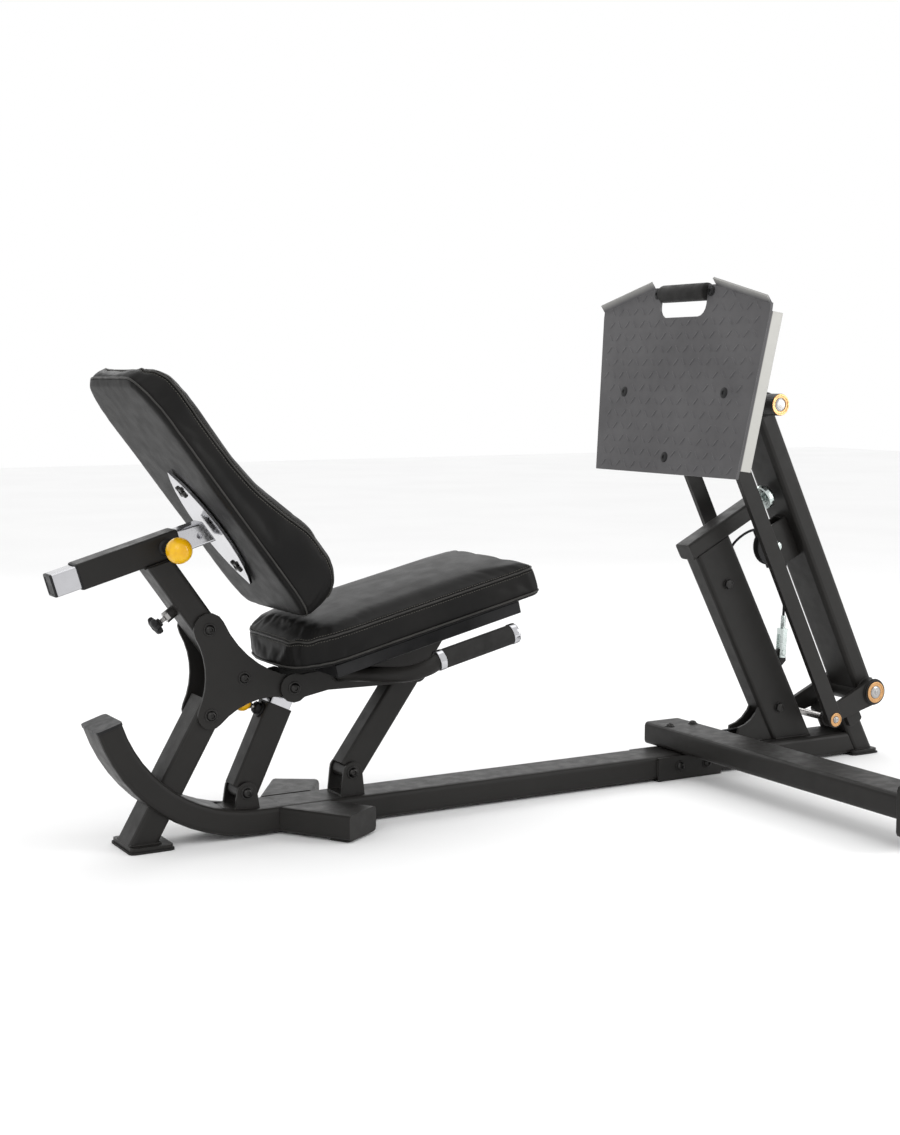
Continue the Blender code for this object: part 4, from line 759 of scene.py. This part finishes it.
def build_pivot_bolts():
    """Button heads on the near side, nuts on the far side, at each pivot of the recliner."""
    for name, node, body, centre, half in (
            ("pivot_rear_post", "bolt_rear_post", "base", PIVOT_A, 0.0445),
            ("pivot_seat_rear", "bolt_seat_rear", "recliner", PIVOT_B, 0.0515),
            ("pivot_seat_front", "bolt_seat_front", "seat", PIVOT_C, 0.0515),
            ("pivot_front_link", "bolt_front_link", "base", PIVOT_D, 0.0335),
            ("pivot_strut", "bolt_strut", "base", PIVOT_E, 0.0335)):
        bm = bmesh.new()
        add_turned(bm, xz(centre, -half), NEAR, socket_head(0.0102, 0.0062), 36)
        add_turned(bm, xz(centre, half), ACROSS, nut_end(0.0098, 0.0070), 36)
        shank = [(0.0058, 0), (0.0060, 0.0005), (0.0060, 2 * half - 0.0005), (0.0058, 2 * half)]
        add_turned(bm, xz(centre, -half), ACROSS, shank, 24)
        bolt = piece(bm, name, body, "steel", DARK_STEEL)
        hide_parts(node)
    spots = []
    for centre in (RECLINE_TOP, (0.195, 0.315)):
        spots.append((xz(centre, -0.0445), NEAR, socket_head(0.0098, 0.0060)))
        spots.append((xz(centre, 0.0445), ACROSS, nut_end(0.0094, 0.0066)))
    turned_piece("gusset_bolts", "recliner", spots, DARK_STEEL)


def build_adjusters():
    """Yellow ball pins, the lobed clamp knob, the slide's end plug and the sleeve's liners."""
    side_of_strut = (xz(PIVOT_B) - xz(PIVOT_E)).normalized()
    strut_out = Vector((-side_of_strut.z, 0, side_of_strut.x))
    strut_base = xz(PIVOT_E) + side_of_strut * 0.160 + strut_out * 0.0283
    sleeve_base = sleeve_point(SLEEVE_LONG - 0.026, -0.002, -TUBE_HALF)
    for name, node, body, carrier, base, axis, ball, neck, reach in (
            ("back_pin", "back_pull_pin", "back_pin", "recliner", sleeve_base, NEAR, 0.025, 0.024, 0.040),
            ("strut_pin", "strut_pull_pin", "strut_pin", "strut", strut_base, strut_out,
             0.018, 0.014, 0.025)):
        middle = reach + ball * 0.9
        profile = [(0.0045, -0.0028), (0.0050, -0.0022), (0.0050, neck + 0.006), (0.0075, neck + 0.0085)]
        turned_piece(name + "_shaft", body, [(base, axis, profile)], segments=24)
        bm = bmesh.new()
        first = math.asin(0.30)
        turned_ball = []
        for i in range(25):
            angle = first + (math.pi - first) * i / 24.5
            turned_ball.append((ball * math.sin(angle), middle - ball * math.cos(angle)))
        turned_ball.insert(0, (ball * 0.26, middle - ball * 0.99))
        add_turned(bm, base, axis, turned_ball, 48)
        knob = piece(bm, name + "_ball", body, "yellow_ball", smooth=70)
        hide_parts(node)
        collar = [(0.0165, 0.0), (0.0165, 0.0020), (0.0150, 0.0034), (0.0118, 0.0040), (0.0118, neck * 0.42),
                  (0.0108, neck * 0.46, hexagon), (0.0108, neck * 0.86, hexagon), (0.0100, neck),
                  (0.0062, neck + 0.001), (0.0058, neck - 0.002)]
        turned_piece(name + "_collar", carrier, [(base, axis, collar)], slot="black_plastic")
    up_post = Vector((-math.sin(BACK_LEAN), 0, math.cos(BACK_LEAN)))
    rear = Vector((-up_post.z, 0, up_post.x))
    knob_base = xz(RECLINE_TOP) + up_post * 0.060 + rear * TUBE_HALF
    threads = [(0.0047, -0.005)]
    for i in range(26):
        threads.append((0.0041 if i % 2 else 0.0049, -0.004 + 0.0015 * i))
    turned_piece("clamp_thread", "clamp_knob", [(knob_base, rear, threads)], segments=24)
    head = [(0.0070, 0.0320), (0.0085, 0.0325), (0.0085, 0.0370), (0.0150, 0.0388, seven_lobes),
            (0.0180, 0.0400, seven_lobes), (0.0192, 0.0420, seven_lobes), (0.0194, 0.0460, seven_lobes),
            (0.0184, 0.0490, seven_lobes), (0.0150, 0.0508, seven_lobes), (0.0080, 0.0516),
            (0.0070, 0.0508), (0.0020, 0.0506)]
    knob = turned_piece("clamp_knob_head", "clamp_knob", [(knob_base, rear, head)], slot="black_plastic",
                        segments=84)
    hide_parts("star_knob")
    nut = [(0.0055, 0.0132), (0.0098, 0.0132, hexagon), (0.0098, 0.0212, hexagon), (0.0088, 0.0222),
           (0.0055, 0.0222)]
    turned_piece("clamp_nut", "recliner", [(knob_base, rear, nut)])
    bm = bmesh.new()
    back = sleeve_point(-SLIDE_BEHIND) - sleeve_point(0)
    inward = -back.normalized()
    add_loops(bm, [square_ring(sleeve_point(-SLIDE_BEHIND) + inward * a, inward, size, 0.004)
                   for a, size in ((0.0003, 0.0434), (-0.0012, 0.0438), (-0.0036, 0.0432), (-0.0046, 0.0412),
                                   (-0.0046, 0.0340), (-0.0034, 0.0325))])
    piece(bm, "slide_plug", "back_rest", "black_plastic")
    for tag, along, way in (("rear", 0.0, -1), ("front", SLEEVE_LONG, 1)):
        bm = bmesh.new()
        step = (sleeve_point(1) - sleeve_point(0)) * way
        face = sleeve_point(along)
        add_loops(bm, [square_ring(face + step * a, step, size, corner)
                       for a, size, corner in ((0.0002, 0.0445, 0.0042), (0.0002, 0.0498, 0.0048),
                                               (0.0022, 0.0494, 0.0048), (0.0030, 0.0480, 0.0046),
                                               (0.0030, 0.0452, 0.0042), (0.0002, 0.0445, 0.0042))],
                  cap_first=False, cap_last=False)
        piece(bm, "sleeve_liner_" + tag, "recliner", "black_plastic")


def square_ring(centre, axis, size, corner, steps=5):
    """Points of a rounded square across an upright axis."""
    over = Vector(axis).normalized().cross(ACROSS).normalized()
    points = []
    for k in range(4):
        sx = (1, -1, -1, 1)[k]
        sy = (1, 1, -1, -1)[k]
        for i in range(steps + 1):
            angle = math.pi / 2 * (k + i / steps)
            a = sx * (size / 2 - corner) + corner * math.cos(angle)
            b = sy * (size / 2 - corner) + corner * math.sin(angle)
            points.append(centre + ACROSS * a + over * b)
    return points


def build_mount_bolts():
    out = back_point(0, -1) - back_point(0, 0)
    spots = []
    for along in (-0.092, 0.092):
        base = back_point(along, -0.002)
        spots.append((base, out, [(0.0155, 0, cross_form), (0.0155, 0.0026, cross_form),
                                  (0.0142, 0.0038, cross_form), (0.0070, 0.0042), (0.0046, 0.0042, hexagon),
                                  (0.0044, 0.0016, hexagon), (0.0010, 0.0012)]))
    turned_piece("mount_plate_bolts", "back_rest", spots, DARK_STEEL, segments=48)


# ---------------------------------------------------------------- press side hardware
def half_width(height):
    return PLATE_LOW_HALF + (PLATE_TOP_HALF - PLATE_LOW_HALF) * height / PLATE_TALL


def add_lug(bm, centre, way, rise, out, long=0.0125, wide=0.0030, tall=0.0013):
    """A long lens-shaped raised bar."""
    along = (ACROSS * way + rise).normalized()
    side = out.cross(along).normalized()
    ring = []
    crown = []
    steps = 10
    for i in range(steps):
        angle = 2 * math.pi * i / steps
        a = long * math.cos(angle)
        b = wide * math.sin(angle)
        ring.append(centre + along * a + side * b)
        crown.append(centre + along * (a * 0.80) + side * (b * 0.45) + out * tall)
    add_loops(bm, [ring, crown], cap_first=False)


def build_tread():
    """Raised bars over the whole face, in rows that lean by turns left and right."""
    rise = plate_point(1) - plate_point(0)
    out = plate_point(0, -1) - plate_point(0)
    pitch = 0.0290
    bm = bmesh.new()
    rows = int((PLATE_TALL + PLATE_PEAK) / pitch)
    holes = [(0.181, 0.182), (0.181, -0.182), (0.037, 0.0), (0.401, 0.095), (0.401, -0.095)]
    for r in range(rows + 1):
        height = 0.016 + pitch * r
        for c in range(-11, 12):
            y = pitch * c
            edge = half_width(min(height, PLATE_TALL))
            if height > PLATE_TALL + 0.016:
                edge = 0.300 - (height - PLATE_TALL - 0.016) * (0.190 / 0.046)
            in_notch = height > 0.335 and abs(y) < 0.100
            near_hole = any(math.hypot(height - h, y - a) < 0.021 for h, a in holes)
            if abs(y) > edge - 0.020 or height > 0.398 or in_notch or near_hole:
                continue
            way = 1 if (r + c) % 2 else -1
            add_lug(bm, plate_point(height, 0.0001, y), way, rise, out)
    piece(bm, "tread_bars", "press_carriage", "tread_plate", smooth=50)


def build_plate_bolts():
    out = plate_point(0, -1) - plate_point(0)
    dark = []
    for height, y in ((0.181, 0.182), (0.181, -0.182), (0.037, 0.0)):
        dark.append((plate_point(height, 0.0, y), out, [(0.0118, 0), (0.0118, 0.0005), (0.0108, 0.0012),
                                                        (0.0100, 0.0012), (0.0092, 0.0016), (0.0060, 0.0020),
                                                        (0.0042, 0.0020, hexagon), (0.0040, 0.0004, hexagon),
                                                        (0.0012, 0.0003)]))
    for way in (-1, 1):
        dark.append((plate_point(0.401, 0.0, way * 0.0965), out, socket_head(0.0088, 0.0034)))
    turned_piece("foot_plate_bolts", "press_carriage", dark, LOOKS["black_plastic"], "black_plastic", 36)


def build_press_grip():
    height = PLATE_TALL + PLATE_PEAK - 0.014
    half = 0.081
    low = plate_point(height, 0.004, -half)
    ends = [(0.0140, 0.0002), (0.0178, 0.0006), (0.0190, 0.0018), (0.0195, 0.0040)]
    foam = ends + [(radius, 2 * half - along) for radius, along in reversed(ends)]
    grip = turned_piece("press_grip", "press_carriage", [(low, ACROSS, foam)], slot="black_rubber",
                        segments=44)
    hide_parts("press_handle")
    rise = plate_point(1) - plate_point(0)
    out = plate_point(0, 1) - plate_point(0)
    bm = bmesh.new()
    for way in (-1, 1):
        loops = []
        for y, size in ((0.0745, 0.0225), (0.0755, 0.0240), (0.1050, 0.0240), (0.1060, 0.0225)):
            centre = plate_point(height - 0.004, 0.0108, way * y)
            ring = []
            for a, b in ((1, 0.8), (0.8, 1), (-0.8, 1), (-1, 0.8),
                         (-1, -0.8), (-0.8, -1), (0.8, -1), (1, -0.8)):
                ring.append(centre + rise * (a * size / 2) + out * (b * 0.0042))
            loops.append(ring)
        add_loops(bm, loops)
    piece(bm, "press_grip_lugs", "press_carriage", "frame_black")


def build_shaft_rings():
    """Bronze bushing flanges round the three shafts, and a centre mark in each shaft's end."""
    for name, body, centre, face, inner, outer, thick in (
            ("arm_bushings", "base", PIVOT_P, 0.0795, 0.0152, 0.0250, 0.0022),
            ("carriage_bushings", "press_carriage", PIVOT_U, 0.1090, 0.0152, 0.0238, 0.0020),
            ("link_bushings", "links", PIVOT_Q, 0.1003, 0.0084, 0.0160, 0.0018)):
        ring = [(inner, 0.0001), (outer - 0.0004, 0.0001), (outer, 0.0006), (outer, thick - 0.0006),
                (outer - 0.0006, thick), (outer * 0.84, thick), (outer * 0.81, thick * 0.45),
                (inner + 0.0004, thick * 0.40), (inner, thick * 0.2), (inner, 0.0001)]
        turned_piece(name, body, [(xz(centre) + way * face, way, ring) for way in (NEAR, ACROSS)], BRONZE,
                     segments=44)
    mark = [(0.0052, 0.0), (0.0052, 0.0008), (0.0044, 0.0012), (0.0030, 0.0012), (0.0024, 0.0004),
            (0.0006, 0.0003)]
    turned_piece("shaft_centres", "base", [(xz(centre) + way * (reach - 0.0004), way, mark)
                                           for centre, reach in ((PIVOT_P, 0.0835), (PIVOT_Q, 0.1040))
                                           for way in (NEAR, ACROSS)], segments=28)


def build_frame_bolts():
    base_bolts = []
    for x in (1.235, 1.310):
        base_bolts.append((Vector((x, -0.0562, 0.030)), NEAR, socket_head(0.0098, 0.0058)))
        base_bolts.append((Vector((x, 0.0562, 0.030)), ACROSS, nut_end(0.0094, 0.0066)))
    for x in (1.322, 1.258):
        base_bolts.append((Vector((x, 0.014, RAIL_TOP + 0.0511)), Vector((0, 0, 1)),
                           socket_head(0.0085, 0.0050)))
    turned_piece("base_bolts", "base", base_bolts, DARK_STEEL)
    for name, body, along in (("upper_axle_heads", "upper_pulley", UPPER_PULLEY_AT),
                              ("lower_axle_heads", "lower_pulley", LOWER_PULLEY_AT)):
        at = tower_point(along, -TOWER_PULLEY_BACK)
        head = [(0.0118, 0), (0.0118, 0.0010), (0.0108, 0.0014), (0.0098, 0.0014, hexagon),
                (0.0098, 0.0066, hexagon), (0.0090, 0.0076), (0.0020, 0.0080)]
        turned_piece(name, body, [(at + NEAR * 0.0258, NEAR, head), (at + ACROSS * 0.0258, ACROSS, head)],
                 DARK_STEEL)
    head = [(0.0112, 0), (0.0112, 0.0012), (0.0100, 0.0016), (0.0094, 0.0016, hexagon),
            (0.0094, 0.0072, hexagon), (0.0086, 0.0082), (0.0020, 0.0085)]
    bolt = turned_piece("arm_pulley_heads", "arm", [(xz(ARM_PULLEY, -0.0193), NEAR, head),
                                                (xz(ARM_PULLEY, 0.0193), ACROSS, head),
                                                (xz(ARM_PULLEY, -0.0193), ACROSS,
                                                 [(0.0056, 0), (0.0058, 0.0386)])], LOOKS["zinc"], "zinc")
    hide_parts("arm_pulley_bolt")
    lug = tower_point(0.247, 0.0508 + 0.024)
    turned_piece("clevis_pin", "base", [(lug + NEAR * 0.0128, ACROSS,
                                     [(0.0062, 0), (0.0068, 0.0006), (0.0068, 0.0016), (0.0036, 0.0020),
                                      (0.0036, 0.0240), (0.0060, 0.0242), (0.0060, 0.0256),
                                      (0.0030, 0.0262)])], LOOKS["zinc"], "zinc", 28)


def build_welds():
    lines = []
    for way in (-1, 1):
        root = Vector((0.3226, way * (RAIL_HALF + 0.0008), 0))
        spread = 0.0508 / math.cos(math.radians(33)) - 0.008
        high = [root + Vector((t * spread, 0, RAIL_TOP - 0.0066 + 0.0030 * math.sqrt(1 - t * t)))
                for t in (-1, -0.5, 0, 0.5, 1)]
        lines.append(([root + Vector((-spread - 0.004, 0, 0.010)), *high,
                       root + Vector((spread + 0.004, 0, 0.010))], False))
    for way in (-1, 1):
        lines.append((circle_xz(PIVOT_P, 0.0292, way * 0.0740), True))
        lines.append((circle_xz(PIVOT_Q, 0.0164, way * 0.0740, 28), True))
        lines.append(([Vector((1.176, way * 0.0515, z)) for z in (0.012, 0.028, 0.046)], False))
    foot = tower_point(0.062)
    for way in (-1, 1):
        lines.append(([Vector((foot.x - 0.052, way * 0.0262, RAIL_TOP + 0.0010)),
                       Vector((foot.x, way * 0.0266, RAIL_TOP + 0.0010)),
                       Vector((foot.x + 0.052, way * 0.0262, RAIL_TOP + 0.0010))], False))
        lines.append(([Vector((1.450, way * 0.0198, RAIL_TOP + 0.0012)),
                       Vector((1.495, way * 0.0198, RAIL_TOP + 0.0012))], False))
    rear = Vector((-0.0172, 0, 0.0118))
    post = [(-0.0280, -0.0380), (0.0300, -0.0380), (0.0300, 0.0380), (-0.0280, 0.0380)]
    lines.append(([rear + Vector((0.009 + x, y, 0)) for x, y in post], True))
    beam = [(-0.0500, -0.0250), (0.0500, -0.0250), (0.0500, 0.0250), (-0.0500, 0.0250)]
    lines.append(([Vector((BEAM_X + x, BEAM_NEAR_Y + 0.0088, BEAM_CENTRE_Z + z)) for x, z in beam], True))
    for y in (-0.0235, 0.0235):
        lines.append(([tower_point(0.5788, a, y) for a in (-0.046, 0, 0.046)], False))
    weld_beads("base_welds", "base", lines)
    along = (xz(PIVOT_U) - xz(PIVOT_P)).normalized()
    over = Vector((along.z, 0, -along.x))
    arm = []
    for centre, radius in ((xz(PIVOT_P), 0.0305), (xz(PIVOT_U), 0.0275)):
        sign = 1 if centre.z < 0.5 else -1
        for way in (-1, 1):
            arc = []
            for k in range(9):
                swing = math.radians(-50 + 12.5 * k)
                arc.append(centre + along * (sign * radius * math.cos(swing))
                           + over * (radius * math.sin(swing)) + ACROSS * (way * 0.0512))
            arm.append((arc, False))
    weld_beads("arm_welds", "arm", arm)
    carriage = []
    for way in (-1, 1):
        carriage.append((circle_xz(PIVOT_U, 0.0250, way * 0.0626), True))
        carriage.append(([plate_point(h, 0.0066, way * 0.0625) for h in (0.045, 0.10, 0.16, 0.215)], False))
    weld_beads("carriage_welds", "press_carriage", carriage)
    post_axis = Vector((-math.sin(BACK_LEAN), 0, math.cos(BACK_LEAN)))
    deep = Vector((math.cos(BACK_LEAN), 0, math.sin(BACK_LEAN)))
    sleeve_low = sleeve_point(0, -TUBE_HALF)
    slope = sleeve_point(1) - sleeve_point(0)
    meet = []
    for side in (-1, 1):
        start = xz(RECLINE_TOP) + deep * (side * 0.0245)
        normal = sleeve_point(0, 1) - sleeve_point(0, 0)
        travel = (sleeve_low - start).dot(normal) / post_axis.dot(normal)
        meet.append(start + post_axis * (travel - 0.0008))
    runs = []
    for way, end in zip((-1, 1), meet):
        beside = ACROSS * (way * 0.0262)
        runs.append(([meet[0] + beside, (meet[0] + meet[1]) / 2 + beside, meet[1] + beside], False))
        runs.append(([end + ACROSS * y + slope * (way * 0.0018) for y in (-0.024, 0, 0.024)], False))
    weld_beads("post_welds", "recliner", runs)


# ---------------------------------------------------------------- cable
def arc_points(centre, radius, first, last, steps):
    points = []
    for i in range(steps + 1):
        angle = first + (last - first) * i / steps
        points.append(Vector((centre[0] + radius * math.cos(angle), 0, centre[1] + radius * math.sin(angle))))
    return points


def build_cable():
    """The cable in the pieces that its pulleys part it into, each with its own motion."""
    upper = tower_point(UPPER_PULLEY_AT, -TOWER_PULLEY_BACK)
    lower = tower_point(LOWER_PULLEY_AT, -TOWER_PULLEY_BACK)
    crossing = math.asin(2 * TOWER_WRAP_R / (UPPER_PULLEY_AT - LOWER_PULLEY_AT))
    leaves = math.radians(180) + TOWER_LEAN + crossing
    rising = [xz(p) for p in ((1.5700, 0.322), (1.5722, 0.370), (1.5732, 0.420), (1.5738, 0.465))]
    over_arm = arc_points(ARM_PULLEY, ARM_WRAP_R, math.radians(-4), math.radians(92), 9)
    slack = [xz(p) for p in ((1.482, 0.5445), (1.452, 0.536), (1.425, 0.519), (1.404, 0.496))]
    inside = arc_points((upper.x, upper.z), TOWER_WRAP_R, math.radians(126), leaves, 8)
    inside += arc_points((lower.x, lower.z), TOWER_WRAP_R, leaves - math.pi, math.radians(-86), 9)
    inside += [xz(p) for p in ((1.490, 0.0870), (1.440, 0.0850), (1.390, 0.0830))]
    corner = Vector((BEAM_X + 0.020, 0, BEAM_CENTRE_Z))
    inside += [corner + Vector((0.020, -0.002, 0)), corner + Vector((0.006, -0.010, 0)),
               corner + Vector((0.000, -0.028, 0)), Vector((BEAM_X + 0.012, -0.120, BEAM_CENTRE_Z)),
               Vector((BEAM_X + 0.004, -0.400, BEAM_CENTRE_Z)),
               Vector((BEAM_X, BEAM_NEAR_Y + 0.030, BEAM_CENTRE_Z))]
    whole = smooth_route(rising + over_arm + slack + inside, 6)
    cuts = [0, 6 * len(rising), 6 * (len(rising) + len(over_arm) - 1),
            6 * (len(rising) + len(over_arm) + len(slack)), len(whole) - 1]
    names = ("cable_rise", "cable_over_arm", "cable_slack", "cable_inside")
    runs = []
    for name, first, last in zip(names, cuts, cuts[1:]):
        bm = bmesh.new()
        points = resample(whole[first:last + 1], 0.003 if name != "cable_inside" else 0.008)
        radii = [CABLE_R * (1 + 0.018 * math.sin(i * 1.9)) for i in range(len(points))]
        add_swept(bm, points, CABLE_R, 12, radii=radii)
        runs.append(piece(bm, name, None, "black_rubber", WIRE, 60))
    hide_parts("press_cable")
    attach(runs[1], "arm")
    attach(runs[3], "base")
    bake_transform(runs[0])
    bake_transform(runs[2])
    ferrule = [(0.0052, 0), (0.0056, 0.001), (0.0056, 0.020), (0.0048, 0.0215), (0.0036, 0.022)]
    foot = rising[0] - Vector((0, 0, 0.004))
    turned_piece("cable_ferrule", "base", [(foot, Vector((0.05, 0, 1)), ferrule)], slot="zinc", segments=28)


# ---------------------------------------------------------------- surroundings
def area_light(name, place, target, size, power, colour=(1, 1, 1)):
    data = bpy.data.lights.new(name, "AREA")
    data.shape = "RECTANGLE"
    data.size, data.size_y = size
    data.energy = power
    data.color = colour
    light = bpy.data.objects.new(name, data)
    light.location = place
    aim = Vector(target) - Vector(place)
    light.rotation_euler = aim.to_track_quat("-Z", "Y").to_euler()
    bpy.context.scene.collection.objects.link(light)


def build_surroundings():
    scene = bpy.context.scene
    data = bpy.data.cameras.new("camera")
    data.lens = 55.95
    data.sensor_width = 36
    data.dof.use_dof = False
    data.clip_end = 60
    camera = bpy.data.objects.new("camera", data)
    camera.location = (-1.120, -3.1613, 0.895)
    camera.rotation_euler = (math.radians(83.80), 0, math.radians(-29.61))
    scene.collection.objects.link(camera)
    scene.camera = camera

    bm = bmesh.new()
    add_loops(bm, [[Vector((x, y, z)) for x, y in ((-9, -9), (14, -9), (14, 14), (-9, 14))]
                   for z in (-0.0006, -0.02)])
    mesh = bpy.data.meshes.new("floor")
    bmesh.ops.recalc_face_normals(bm, faces=bm.faces)
    bm.to_mesh(mesh)
    bm.free()
    paper = Finish("floor", (0.93, 0.93, 0.93), 0.85, specular=0.1)
    paper.vary_colour(paper.noise(1.2, 2), (0.95, 0.95, 0.95))
    mesh.materials.append(paper.done())
    floor = bpy.data.objects.new("floor", mesh)
    scene.collection.objects.link(floor)

    world = bpy.data.worlds.new("studio")
    scene.world = world
    world.use_nodes = True
    world.node_tree.nodes["Background"].inputs["Color"].default_value = (1, 1, 1, 1)
    world.node_tree.nodes["Background"].inputs["Strength"].default_value = 1.0
    middle = (0.8, 0, 0.5)
    area_light("key", (-2.2, -2.6, 3.0), middle, (2.4, 2.4), 26)
    area_light("side", (3.6, -2.4, 1.8), middle, (1.2, 2.6), 42)
    area_light("rim", (1.6, 3.0, 2.6), middle, (3.0, 1.4), 22)
    area_light("top", (0.8, 0.2, 3.4), middle, (3.2, 1.6), 14)
    scene.view_settings.view_transform = "Standard"
    scene.view_settings.look = "None"


build_surroundings()
build_cable()
build_seat()
build_back()
build_handles()
build_pivot_bolts()
build_adjusters()
build_mount_bolts()
build_tread()
build_plate_bolts()
build_press_grip()
build_shaft_rings()
build_frame_bolts()
build_welds()
